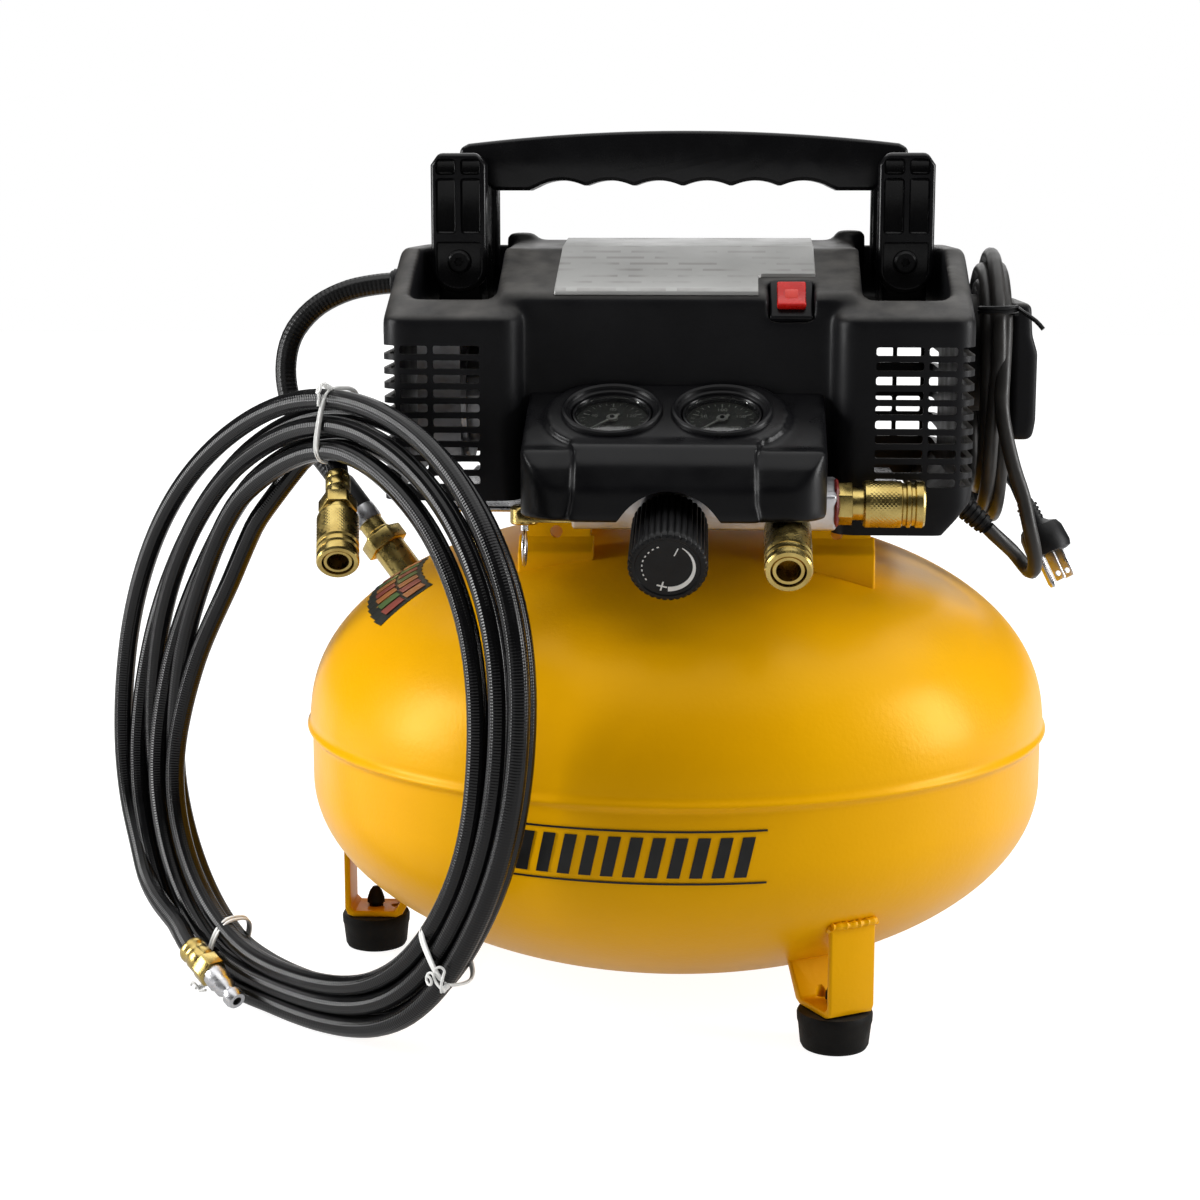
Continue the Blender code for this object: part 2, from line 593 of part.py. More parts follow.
def console_form(name, inset, low, mat=None):
    """Hood outline as a solid: sloping top, round brow and round corners at the ends."""
    x_mid, half = 0.0025, 0.0770
    slope = math.tan(TILT)
    back, brow, front = -CENTRE_DEPTH - GAP, -0.1570, -0.1775
    top = GAUGE_Z - 0.0050 + (back - GAUGE_Y) * slope - inset / math.cos(TILT)
    outline = [(back + 3 * inset, low), (back + 3 * inset, top + 3 * inset * slope),
               (brow, top - (back - brow) * slope), (-0.1650 + 0.7 * inset, 0.3140 - 0.7 * inset),
               (-0.1725 + 0.9 * inset, 0.3065 - 0.5 * inset), (front + inset, 0.2960), (front + inset, low)]
    hood = prism(name, outline, "X", x_mid - 0.1, x_mid + 0.1, mat)
    plan = rounded_plan((x_mid - half + inset, front - 0.0001 + inset), (x_mid + half - inset, 0.0),
                        0.0120 - inset)
    boolean(hood, prism(f"{name}_plan", plan, "Z", 0.2400, 0.4000), "INTERSECT")
    return hood


def make_console(plastic):
    """Hood over the regulator with a collar round each gauge."""
    hood = console_form("console", 0.0, 0.2795, plastic)
    boolean(hood, console_form("cut_console_hollow", 0.0030, 0.2500))
    arch = cylinder("cut_arch", 0.0300, 0.0050, 0.0700, segments=24)
    place(arch, MANIFOLD + Vector((KNOB_X, 0, 0)), (0.5 * math.pi + TILT, 0.0, 0.0))
    boolean(hood, arch)
    boolean(hood, box("cut_console_side", (0.0700, -0.1520, 0.2700), (0.1000, -0.1160, 0.3020)))
    for index, gauge_x in enumerate(GAUGE_XS):
        hole = cylinder(f"cut_well_{index}", GAUGE_RADIUS + 0.0030, -0.0300, 0.0100, segments=24)
        collar = turned(f"add_collar_{index}", [
            (GAUGE_RADIUS + GAP, -0.0065), (0.0262, -0.0065), (0.0262, -0.0010), (0.0252, 0.0),
            (GAUGE_RADIUS + GAP, 0.0)], segments=24, closed=True)
        for piece, operation in ((hole, "DIFFERENCE"), (collar, "UNION")):
            place(piece, (gauge_x, GAUGE_Y, GAUGE_Z), (TILT, 0.0, 0.0))
            boolean(hood, piece, operation)


def make_gauges(steel, white, glass):
    """Case with dial and stop pin, needle and lens; one gauge for the tank, one for the outlet."""
    for name, gauge_x in zip(("tank_gauge", "outlet_gauge"), GAUGE_XS):
        centre = Vector((gauge_x, GAUGE_Y, GAUGE_Z))
        lean = (TILT, 0.0, 0.0)
        case = turned(f"{name}_case", [
            (0, -0.0210), (GAUGE_RADIUS, -0.0210), (GAUGE_RADIUS, -0.0010), (GAUGE_RADIUS - 0.0015, -0.0010),
            (GAUGE_RADIUS - 0.0015, -0.0060), (0.0011, -0.0060), (0.0011, -0.0036), (0, -0.0036)],
            steel, segments=24)
        place(case, centre, lean)
        needle = turned(f"{name}_needle", [
            (0.0014, -0.0052), (0.0030, -0.0052), (0.0030, -0.0042), (0.0014, -0.0042)], white, 16, closed=True)
        pointer = prism(f"add_pointer_{name}", [(-0.0006, -0.0020), (0.0006, -0.0020), (0.0002, -0.0150),
                                                (-0.0002, -0.0150)], "Z", -0.0050, -0.0044)
        pointer.parent = needle
        pointer.rotation_euler = (0.0, 0.0, math.radians(-45.0))
        boolean(needle, pointer, "UNION")
        place(needle, centre, lean)
        lens = turned(f"{name}_lens", [
            (0, -0.0030), (GAUGE_RADIUS - 0.0018, -0.0030), (GAUGE_RADIUS - 0.0018, -0.0018), (0, -0.0018)],
            glass, segments=24)
        place(lens, centre, lean)


def make_regulator(metal, plastic):
    """Manifold bar, its port through the cover, the regulator body and its knob."""
    lean = (0.5 * math.pi + TILT, 0.0, 0.0)
    bar = box("manifold", (-0.0500, -0.0105, -0.0105), (0.0850, 0.0105, 0.0105), metal)
    place(bar, MANIFOLD, lean)
    bevel(bar, 0.0015, 1)
    nipple = cylinder("add_manifold_port", 0.0080, 0.0, 0.0345, segments=20)
    place(nipple, (0.0, MANIFOLD.y, MANIFOLD.z), (-0.5 * math.pi, 0.0, 0.0))
    boolean(bar, nipple, "UNION")
    body = turned("regulator_body", [(0, 0.0108), (0.0160, 0.0108), (0.0160, 0.0185), (0.0080, 0.0195),
                                     (0.0080, 0.0215), (0, 0.0215)], metal, segments=24)
    place(body, MANIFOLD + Vector((KNOB_X, 0, 0)), lean)
    knob = turned("regulator_knob", [
        (0, 0.0218), (0.0180, 0.0218), (0.0192, 0.0230), (KNOB_RADIUS, KNOB_FACE - 0.0030),
        (KNOB_RADIUS - 0.0020, KNOB_FACE), (0, KNOB_FACE)], plastic, segments=28)
    place(knob, MANIFOLD + Vector((KNOB_X, 0, 0)), lean)


def coupler(prefix, start, brass, origin, rotation, length):
    """Quick coupler along its own Z: hexagon, stem with a socket, and a knurled sleeve that slides back."""
    hexagon = cylinder(f"{prefix}_body", 0.0105, start, start + 0.0085, brass, segments=6)
    stem = cylinder(f"add_stem_{prefix}", 0.0086, start + 0.0080, length - 0.0012, segments=20)
    for piece in (hexagon, stem):
        place(piece, origin, rotation)
    boolean(hexagon, stem, "UNION")
    socket = cylinder(f"cut_socket_{prefix}", 0.0062, length - 0.0220, length + 0.0100, segments=16)
    place(socket, origin, rotation)
    boolean(hexagon, socket)
    low = start + 0.0140
    sleeve = turned(f"{prefix}_sleeve", [
        (0.0089, low), (0.0112, low), (COUPLER_RADIUS, low + 0.0015), (COUPLER_RADIUS, length - 0.0020),
        (0.0108, length), (0.0089, length)], brass, 20, closed=True)
    place(sleeve, origin, rotation)


def make_couplers(brass):
    lean = (0.5 * math.pi + TILT, 0.0, 0.0)
    coupler("front_coupler", 0.0108, brass, MANIFOLD + Vector((FRONT_COUPLER_X, 0, 0)), lean, 0.0640)
    side = MANIFOLD + Vector((0.0853, 0, 0))
    coupler("side_coupler", 0.0, brass, side, (0.0, 0.5 * math.pi, 0.0), 0.0445)


def make_safety_valve(brass, steel):
    """Relief valve at the manifold's end and the ring that lifts its stem."""
    top = Vector((-0.0765, -0.1145, 0.2695))
    valve = turned("safety_valve", [
        (0.0026, 0.0), (0.0070, 0.0), (0.0075, 0.0010), (0.0075, 0.0080), (0.0060, 0.0095), (0, 0.0095),
        (0, 0.0075), (0.0026, 0.0075)], brass, 16, closed=True)
    valve.location = top
    link = box("add_relief_link", (-0.0790, -0.1330, 0.2725), (-0.0503, -0.1180, 0.2782))
    boolean(valve, link, "UNION")
    ring = turned("safety_ring", [(0.0085, -0.0008), (0.0101, -0.0008), (0.0101, 0.0008), (0.0085, 0.0008)],
                  steel, 20, closed=True)
    place(ring, top + Vector((0.0, 0.0, -0.0125)), (0.0, 0.5 * math.pi, 0.0))
    stem = cylinder("add_ring_stem", 0.0021, -0.0040, 0.0070, segments=12)
    stem.location = top
    boolean(ring, stem, "UNION")


def make_drain(brass):
    """Drain cock under the rear of the tank, and the wing key that opens it."""
    foot = Vector((0.0, 0.1200, 0.0165))
    boss = cylinder("drain_valve", 0.0068, 0.0, 0.0200, brass, segments=16)
    boss.location = foot
    boolean(boss, tank_cutter("cut_tank_drain"))
    barrel = cylinder("add_drain_barrel", 0.0072, -0.0080, 0.0440, segments=16)
    place(barrel, foot, (-0.5 * math.pi, 0.0, 0.0))
    boolean(boss, barrel, "UNION")
    key = box("drain_key", (-0.0115, -0.0020, 0.0443), (0.0115, 0.0020, 0.0560), brass)
    place(key, foot, (-0.5 * math.pi, 0.0, 0.0))
    bevel(key, 0.0008, 1)


# ---------------------------------------------------------------- pump and motor
def make_pump(alloy, steel, rubber):
    """Crankcase, finned cylinder along -X, head with outlet, wobble piston, flywheel and belt."""
    along_y = (-0.5 * math.pi, 0.0, 0.0)
    leftwards = (0.0, -0.5 * math.pi, 0.0)
    case = box("crankcase", (-0.0720, -0.0400, 0.2761), (-0.0130, 0.0020, 0.3700), alloy)
    bevel(case, 0.003, 1)
    bearing = box("add_bearing", (-0.0600, 0.0380, 0.2761), (-0.0260, 0.0560, 0.3560))
    bevel(bearing, 0.002, 1)
    foot = box("add_bearing_foot", (-0.0580, -0.0100, 0.2761), (-0.0280, 0.0480, 0.2820))
    boolean(case, bearing, "UNION")
    boolean(case, foot, "UNION")
    cavity = box("cut_crank_cavity", (-0.0690, -0.0360, 0.2900), (-0.0160, 0.0100, 0.3665))
    boolean(case, cavity)
    throat = cylinder("cut_throat", BORE_RADIUS, 0.0200, 0.0400, segments=24)
    place(throat, PUMP_AXIS + Vector((0.0, -0.0200, 0.0)), leftwards)
    boolean(case, throat)
    hole = cylinder("cut_bearing", 0.0068, 0.0, 0.1000, segments=12)
    place(hole, PUMP_AXIS, along_y)
    boolean(case, hole)
    fins = [(BORE_RADIUS + 0.0004, 0.0293)]
    for index in range(3):
        low = 0.0293 + 0.01367 * index
        fins += [(0.0390, low), (0.0390, low + 0.0040), (0.0318, low + 0.0040), (0.0318, low + 0.01367)]
    fins += [(0.0390, 0.0703), (0.0390, 0.0731), (BORE_RADIUS + 0.0004, 0.0731)]
    barrel = turned("cylinder", fins, alloy, 20, closed=True)
    place(barrel, PUMP_AXIS + Vector((0.0, -0.0200, 0.0)), leftwards)
    head = box("cylinder_head", (-0.1400, -0.0560, 0.2950), (-0.1165, 0.0180, 0.3675), alloy)
    turret = box("add_turret", (-0.1400, 0.0100, 0.3450), (-0.1210, 0.0700, 0.3640))
    riser = box("add_riser", (-0.1399, 0.0502, 0.3460), (-0.1215, 0.0690, 0.3945))
    boolean(head, turret, "UNION")
    boolean(head, riser, "UNION")
    slots = []
    for index in range(4):
        low = 0.3010 + 0.0170 * index
        slots.append(box("fin_slot", (-0.1500, -0.0500, low), (-0.1330, 0.0090, low + 0.0070)))
    boolean(head, join("cut_head_fins", slots))
    piston = cylinder("wobble_piston", BORE_RADIUS - 0.0007, 0.0480, 0.0560, steel, segments=20)
    place(piston, PUMP_AXIS + Vector((0.0, -0.0200, 0.0)), leftwards)
    rod = box("add_rod", (-0.0060, -0.0040, 0.0100), (0.0060, 0.0040, 0.0500))
    place(rod, PUMP_AXIS + Vector((0.0, -0.0200, 0.0)), leftwards)
    eye = cylinder("add_big_end", 0.0110, -0.0040, 0.0040, segments=24)
    place(eye, PUMP_AXIS + Vector((-0.0080, -0.0200, 0.0)), along_y)
    boolean(piston, rod, "UNION")
    boolean(piston, eye, "UNION")
    wheel = turned("flywheel", [
        (0, 0.0640), (0.0120, 0.0640), (0.0120, 0.0680), (0.0360, 0.0690), (0.0370, 0.0640),
        (FLYWHEEL_RADIUS, 0.0640), (FLYWHEEL_RADIUS, 0.0760), (0.0370, 0.0760), (0.0360, 0.0720),
        (0.0120, 0.0730), (0.0120, 0.0780), (0, 0.0780)], steel, 24)
    shaft = turned("add_crankshaft", [
        (0, -0.0145), (0.0160, -0.0145), (0.0160, -0.0080), (0.0060, -0.0080), (0.0060, 0.0650),
        (0, 0.0650)], None, 12)
    for piece in (wheel, shaft):
        place(piece, PUMP_AXIS, along_y)
    boolean(wheel, shaft, "UNION")
    slack = 0.0006
    distance = (MOTOR_AXIS - PUMP_AXIS).length
    lean = math.asin((FLYWHEEL_RADIUS - PULLEY_RADIUS) / distance)
    base = math.atan2(MOTOR_AXIS.z - PUMP_AXIS.z, MOTOR_AXIS.x - PUMP_AXIS.x)

    def belt_loop(extra):
        points = []
        for centre, radius, first, last in (
                (MOTOR_AXIS, PULLEY_RADIUS, -0.5 * math.pi + lean, 0.5 * math.pi - lean),
                (PUMP_AXIS, FLYWHEEL_RADIUS, 0.5 * math.pi - lean, 1.5 * math.pi + lean)):
            for i in range(17):
                turn = base + first + (last - first) * i / 16
                reach = radius + extra
                points.append((centre.x + reach * math.cos(turn), centre.z + reach * math.sin(turn)))
        return points

    belt = prism("drive_belt", belt_loop(slack + 0.0030), "Y", PULLEY_Y - 0.0045, PULLEY_Y + 0.0045, rubber)
    inside = prism("cut_belt", belt_loop(slack), "Y", PULLEY_Y - 0.01, PULLEY_Y + 0.01)
    boolean(belt, inside)


def make_motor(alloy, steel, plastic):
    """Hollow motor can; the shaft carries the rotor, the drive pulley and the cooling fan."""
    along_y = (-0.5 * math.pi, 0.0, 0.0)
    can = turned("motor_housing", [
        (0, -0.0450), (0.0400, -0.0450), (0.0440, -0.0400), (0.0440, 0.0450), (0.0360, 0.0520), (0, 0.0520)],
        alloy, 24)
    cradle = box("add_cradle", (0.0270, -0.0350, 0.2761), (0.0970, 0.0400, 0.2920))
    inside = turned("cut_can_inside", [
        (0, -0.0700), (0.0060, -0.0700), (0.0060, -0.0420), (0.0380, -0.0420), (0.0380, 0.0440),
        (0.0060, 0.0490), (0.0060, 0.0700), (0, 0.0700)], None, 24)
    for piece in (can, inside):
        place(piece, MOTOR_AXIS, along_y)
    boolean(can, cradle, "UNION")
    boolean(can, inside)
    shaft = turned("motor_shaft", [
        (0, -0.0720), (0.0040, -0.0720), (0.0040, -0.0300), (0.0270, -0.0300), (0.0270, 0.0330),
        (0.0040, 0.0330), (0.0040, 0.0640), (PULLEY_RADIUS, 0.0640), (PULLEY_RADIUS, 0.0760),
        (0, 0.0760)], steel, 16)
    place(shaft, MOTOR_AXIS, along_y)
    fan = turned("cooling_fan", [
        (0.0043, -0.0700), (0.0110, -0.0700), (0.0110, -0.0520), (0.0043, -0.0520)], plastic, 16, closed=True)
    place(fan, MOTOR_AXIS, along_y)
    for index in range(5):
        blade = box(f"add_blade_{index}", (-0.0009, 0.0090, -0.0090), (0.0009, 0.0390, 0.0040))
        turn = Matrix.Rotation(2.0 * math.pi * index / 5, 4, "Z")
        pitch = Matrix.Rotation(math.radians(32.0), 4, "Y")
        shift = Matrix.Translation((0.0, 0.0, -0.0600))
        blade.data.transform(shift @ turn @ pitch)
        place(blade, MOTOR_AXIS, along_y)
        boolean(fan, blade, "UNION")


# ---------------------------------------------------------------- cord wrap, power cord, plug
def make_cord_wrap(plastic):
    """A drum on the right wall with an end plate that keeps the cord on."""
    wall = HEAD_X + COVER_HALF_WIDTH + GAP
    drum = cylinder("cord_wrap", WRAP_DRUM_RADIUS, 0.0, 0.0270, plastic, segments=28)
    place(drum, (wall, 0.0, WRAP_DRUM_Z), (0.0, 0.5 * math.pi, 0.0))
    plate = box("add_wrap_plate", (wall + 0.0265, -0.0350, 0.3065), (wall + 0.0435, 0.0350, 0.3815))
    bevel(plate, 0.0050, 2)
    boolean(drum, plate, "UNION")


def racetrack(radius, high, low, x):
    """Loop centres and outward sides of a hank hung on the drum, in the YZ plane."""
    centres, sides = [], []
    for middle, start in ((high, 0.0), (low, math.pi)):
        for i in range(13):
            turn = start + math.pi * i / 12
            side = Vector((0.0, math.cos(turn), math.sin(turn)))
            centres.append(Vector((x, 0.0, middle)) + side * radius)
            sides.append(side)
    return centres, sides


def make_power_cord(rubber, dark):
    """Strain relief in the chin, the loose lead, the hank on the wrap, the tail and the plug."""
    outward = Vector((0.7525, 0.0, -0.6587)).normalized()
    base = Vector((0.1513, -0.0445, 0.2775))
    relief = turned("strain_relief", [
        (0, 0.0), (0.0080, 0.0), (0.0080, 0.0035), (0.0068, 0.0045), (0.0052, 0.0262), (0, 0.0262)],
        dark, 16)
    aim(relief, base + outward * 0.0004, outward)
    tube("power_cord_lead", smooth_route(LEAD_ROUTE, 0.0100), CORD_RADIUS, rubber)
    centres, sides = racetrack(0.0420, WRAP_DRUM_Z, 0.3075, 0.1742)
    ring_solid("power_cord_hank", centres, sides, [0.0082] * len(centres), 0.0087, Vector((1, 0, 0)), rubber)
    tube("power_cord_tail", smooth_route(TAIL_ROUTE, 0.0100), CORD_RADIUS, rubber)
    rear = Vector(TAIL_ROUTE[-1]) + PLUG_AXIS * 0.0010
    plug = turned("power_plug", [
        (0, 0.0), (0.0058, 0.0), (0.0062, 0.0080), (0.0125, 0.0110), (0.0140, 0.0260), (0.0130, 0.0290),
        (0, 0.0290)], dark, 16)
    aim(plug, rear, PLUG_AXIS)
    for index, (x, y, width) in enumerate(((-0.0064, 0.003, 0.0060), (0.0064, 0.003, 0.0060), (0.0, -0.006, 0.0044))):
        prong = box(f"add_prong_{index}", (x - 0.0008, y - 0.5 * width, 0.0270),
                    (x + 0.0008, y + 0.5 * width, 0.0450))
        aim(prong, rear, PLUG_AXIS)
        boolean(plug, prong, "UNION")


# ---------------------------------------------------------------- discharge hose and accessory hose
def make_discharge(rubber, brass, dark):
    """Hose from the cylinder head to the check valve on the tank's left shoulder."""
    tube("discharge_hose", smooth_route(DISCHARGE_ROUTE, 0.0150), DISCHARGE_RADIUS, rubber)
    wall = HEAD_X - COVER_HALF_WIDTH - GAP
    collar = turned("hose_grommet", [
        (0.0068, 0.0), (0.0098, 0.0), (0.0098, 0.0050), (0.0084, 0.0180), (0.0068, 0.0180)],
        dark, 18, closed=True)
    place(collar, (wall, 0.0600, 0.3880), (0.0, -0.5 * math.pi, 0.0))
    end = Vector(DISCHARGE_ROUTE[-1])
    inward = (end - Vector(DISCHARGE_ROUTE[-2])).normalized()
    valve = turned("check_valve", [
        (0, 0.0006), (0.0082, 0.0006), (0.0082, 0.0110), (0.0070, 0.0120), (0.0070, 0.0180),
        (0.0115, 0.0182), (0.0115, 0.0270), (0.0090, 0.0280), (0.0090, 0.0480), (0, 0.0480)], brass, 16)
    aim(valve, end, inward)
    boolean(valve, tank_cutter("cut_tank_check"))


def coil_point(across, up, out=0.0):
    """A point in the hose coil's own frame: across and up in its plane, out away from the tank."""
    away = Vector((-math.sin(COIL_AZIMUTH), -math.cos(COIL_AZIMUTH), 0.0))
    level = Vector((math.cos(COIL_AZIMUTH), -math.sin(COIL_AZIMUTH), 0.0))
    rise = (Vector((0, 0, 1)) * math.cos(COIL_LEAN) - away * math.sin(COIL_LEAN))
    normal = (away * math.cos(COIL_LEAN) + Vector((0, 0, 1)) * math.sin(COIL_LEAN))
    foot = away * (COIL_DISTANCE + SEAM_Z * math.tan(COIL_LEAN))
    return foot + level * across + rise * up + normal * out


def coil_reach(row, degrees):
    """Distance of a coil edge from the coil's middle, smooth through the stations."""
    step = 360.0 / len(row)
    index = int(degrees // step)
    t = degrees / step - index
    a, b, c, d = (row[(index + k) % len(row)] for k in (-1, 0, 1, 2))
    return 0.5 * (2 * b + (c - a) * t + (2 * a - 5 * b + 4 * c - d) * t ** 2 + (3 * b - a - 3 * c + d) * t ** 3)


def coil_edge(degrees, outer, pad):
    """A point on the outer or inner side of the coil; the bottom is flat where it rests on the floor."""
    turn = math.radians(degrees)
    reach = coil_reach(COIL_OUTER if outer else COIL_INNER, degrees)
    if outer and math.sin(turn) < -0.5:
        reach = min(reach, (COIL_MIDDLE[1] - COIL_REST) / -math.sin(turn))
    reach += pad if outer else -pad
    return coil_point(COIL_MIDDLE[0] + reach * math.cos(turn), COIL_MIDDLE[1] + reach * math.sin(turn))


def make_hose_coil(rubber, brass, steel):
    """The accessory hose, tied in an uneven coil that stands on the floor and leans on the tank."""
    centres, sides, widths = [], [], []
    for i in range(36):
        far, near = coil_edge(10.0 * i, True, 0.0040), coil_edge(10.0 * i, False, 0.0045)
        centres.append(0.5 * (far + near))
        sides.append((far - near).normalized())
        widths.append(0.5 * (far - near).length)
    normal = (coil_point(0, 0, 1.0) - coil_point(0, 0, 0.0)).normalized()
    ring_solid("air_hose_coil", centres, sides, widths, 0.0125, normal, rubber)
    hang = Vector((0.127, -0.812, -0.570)).normalized()
    start = coil_point(-0.0460, 0.2990, 0.0)
    quat = hang.to_track_quat("Z", "Y").to_euler()
    coupler("hose_coupler", 0.0240, brass, start, quat, 0.0700)
    ferrule = cylinder("add_ferrule", 0.0072, 0.0060, 0.0250, segments=20)
    place(ferrule, start, quat)
    boolean(bpy.data.objects["hose_coupler_body"], ferrule, "UNION")
    nipple = turned("hose_plug", [
        (0, 0.0), (0.0085, 0.0), (0.0085, 0.0150), (0.0100, 0.0160), (0.0100, 0.0250), (0.0058, 0.0270),
        (0.0058, 0.0340), (0.0040, 0.0370), (0.0056, 0.0400), (0.0056, 0.0460), (0, 0.0460)], steel, 14)
    first = coil_point(-0.1258, 0.0272, 0.0240)
    second = coil_point(-0.0782, 0.0063, 0.0240)
    aim(nipple, first, second - first)


def shift_to_origin():
    for obj in bpy.data.objects:
        if obj.parent is None:
            obj.location.x += ORIGIN_SHIFT


def main():
    clear_scene()
    paint = material("yellow_paint", (0.86, 0.52, 0.01), 0.35)
    plastic = material("black_plastic", (0.02, 0.02, 0.022), 0.5)
    rubber = material("black_rubber", (0.015, 0.015, 0.015), 0.6)
    dark = material("grey_rubber", (0.03, 0.03, 0.03), 0.6)
    brass = material("brass", (0.70, 0.52, 0.20), 0.3, 1.0)
    steel = material("zinc_steel", (0.60, 0.60, 0.62), 0.35, 1.0)
    alloy = material("cast_alloy", (0.55, 0.56, 0.58), 0.5, 1.0)
    red = material("switch_red", (0.75, 0.02, 0.02), 0.35)
    white = material("needle_white", (0.85, 0.85, 0.85), 0.5)
    glass = material("clear_lens", (0.9, 0.95, 0.95), 0.05)
    make_tank(paint)
    make_feet(paint, rubber)
    make_pump_frame(paint, steel)
    make_cover(plastic)
    make_switch(red)
    make_handle(plastic, steel)
    make_console(plastic)
    make_gauges(steel, white, glass)
    make_regulator(alloy, plastic)
    make_couplers(brass)
    make_safety_valve(brass, steel)
    make_drain(brass)
    make_pump(alloy, steel, rubber)
    make_motor(alloy, steel, plastic)
    make_cord_wrap(plastic)
    make_power_cord(rubber, dark)
    make_discharge(rubber, brass, dark)
    make_hose_coil(rubber, brass, steel)
    shift_to_origin()


main()
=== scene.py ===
"""Portable pancake air compressor: visible pieces, finishes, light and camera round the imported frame.

Metres, +Z up, -Y is the front. Pieces are drawn about the tank's axis and moved by SHIFT when they are done.
"""
import json
import math

import bmesh
import bpy
from mathutils import Matrix, Vector

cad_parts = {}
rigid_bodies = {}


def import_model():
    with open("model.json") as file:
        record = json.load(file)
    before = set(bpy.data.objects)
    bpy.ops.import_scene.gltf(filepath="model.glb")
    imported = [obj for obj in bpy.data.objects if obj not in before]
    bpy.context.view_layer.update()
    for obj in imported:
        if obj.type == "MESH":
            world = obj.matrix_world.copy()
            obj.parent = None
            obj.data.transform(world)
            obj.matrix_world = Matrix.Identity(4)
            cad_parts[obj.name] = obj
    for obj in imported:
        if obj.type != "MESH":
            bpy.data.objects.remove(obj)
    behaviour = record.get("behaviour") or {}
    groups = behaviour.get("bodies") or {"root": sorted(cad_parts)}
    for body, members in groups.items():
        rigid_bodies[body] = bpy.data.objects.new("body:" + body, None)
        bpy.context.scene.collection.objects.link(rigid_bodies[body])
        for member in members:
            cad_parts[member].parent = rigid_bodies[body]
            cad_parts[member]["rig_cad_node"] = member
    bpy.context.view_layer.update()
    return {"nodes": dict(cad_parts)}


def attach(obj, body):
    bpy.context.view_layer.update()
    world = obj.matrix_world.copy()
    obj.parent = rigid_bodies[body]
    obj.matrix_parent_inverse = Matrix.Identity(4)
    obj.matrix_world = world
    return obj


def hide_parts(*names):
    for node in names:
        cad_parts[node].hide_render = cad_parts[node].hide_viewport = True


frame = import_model()
NODES = frame["nodes"]
SHIFT = Vector((0.0135, 0.0, 0.0))  # of the tank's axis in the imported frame

TANK_RADIUS, SEAM_Z, SEAM_RIDGE = 0.2095, 0.143, 0.0025
DOME_HEIGHT, DOME_POWER, DOME_STRAIGHT = 0.1127, 2.187, 0.0026
BELLY_HEIGHT, BELLY_STRAIGHT = 0.1063, 0.03
FOOT_ANGLES, FOOT_RADIUS, FOOT_HEIGHT = (-90.0, 30.0, 150.0), 0.1765, 0.0203
STRAP_WIDTH, STRAP_THICK = 0.027, 0.0035
HEAD_X, COVER_HALF_WIDTH, RECESS_HALF_WIDTH = 0.003, 0.1535, 0.081
BLOCK_DEPTH, CENTRE_DEPTH = 0.12, 0.105
BLOCK_EDGE_Z, BLOCK_TOP_Z, CENTRE_EDGE_Z, CENTRE_TOP_Z = 0.3765, 0.411, 0.3895, 0.4145
COVER_WALL = 0.003
LEFT_SKIRT_Z, CENTRE_SKIRT_Z, RIGHT_SKIRT_Z = 0.282, 0.272, 0.2655
SLOT_TOP_Z = 0.3625
SWITCH_CENTRE, SWITCH_TILT = Vector((0.0618, -0.0955, 0.385)), math.radians(46.0)
TOWER_OFFSET, TOWER_HALF_WIDTH, TOWER_DEPTH = 0.1215, 0.0152, 0.04
TOWER_FOOT_Z, TOWER_TOP_Z = 0.3862, 0.4616
GRIP_HALF_DEPTH, GRIP_CROWN_Z, GRIP_END_Z, GRIP_UNDER_Z = 0.0145, 0.474, 0.4665, 0.447
SCALLOP_PITCH, SCALLOP_DEPTH, GRIP_END_DROP = 0.0268, 0.0034, 0.0055
QUARTER_TURN = 0.5 * math.pi
TILT = math.radians(24.0)  # lean of the dials and of the fittings below them
LEAN = (QUARTER_TURN + TILT, 0.0, 0.0)
ALONG_X, ALONG_Y = (0.0, QUARTER_TURN, 0.0), (QUARTER_TURN, 0.0, 0.0)
MANIFOLD = Vector((0.0, -0.134, 0.2838))
KNOB_X, FRONT_COUPLER_X, KNOB_RADIUS, KNOB_FACE, KNOB_RIBS = 0.0008, 0.06, 0.02, 0.062, 36
GAUGE_XS, GAUGE_Y, GAUGE_Z, GAUGE_RADIUS = (-0.0297, 0.0265), -0.1325, 0.3305, 0.0205
DIAL_TICKS, DIAL_START, DIAL_SWEEP = 21, 225.0, 270.0
COUPLER_RADIUS = 0.012
CORD_RADIUS, WRAP_DRUM_RADIUS, WRAP_DRUM_Z = 0.004, 0.033, 0.352
HOSE_RADIUS, DISCHARGE_RADIUS = 0.0054, 0.0062
COIL_AZIMUTH, COIL_LEAN, COIL_DISTANCE = math.radians(42.0), math.radians(4.4), 0.2195
COIL_MIDDLE, COIL_REST = (-0.052, 0.1705), 0.006
PLUG_ANGLE, HOSE_END_ANGLE, FULL_LAPS, STRAND_ROW = 244.0, 122.0, 5, 0.0058
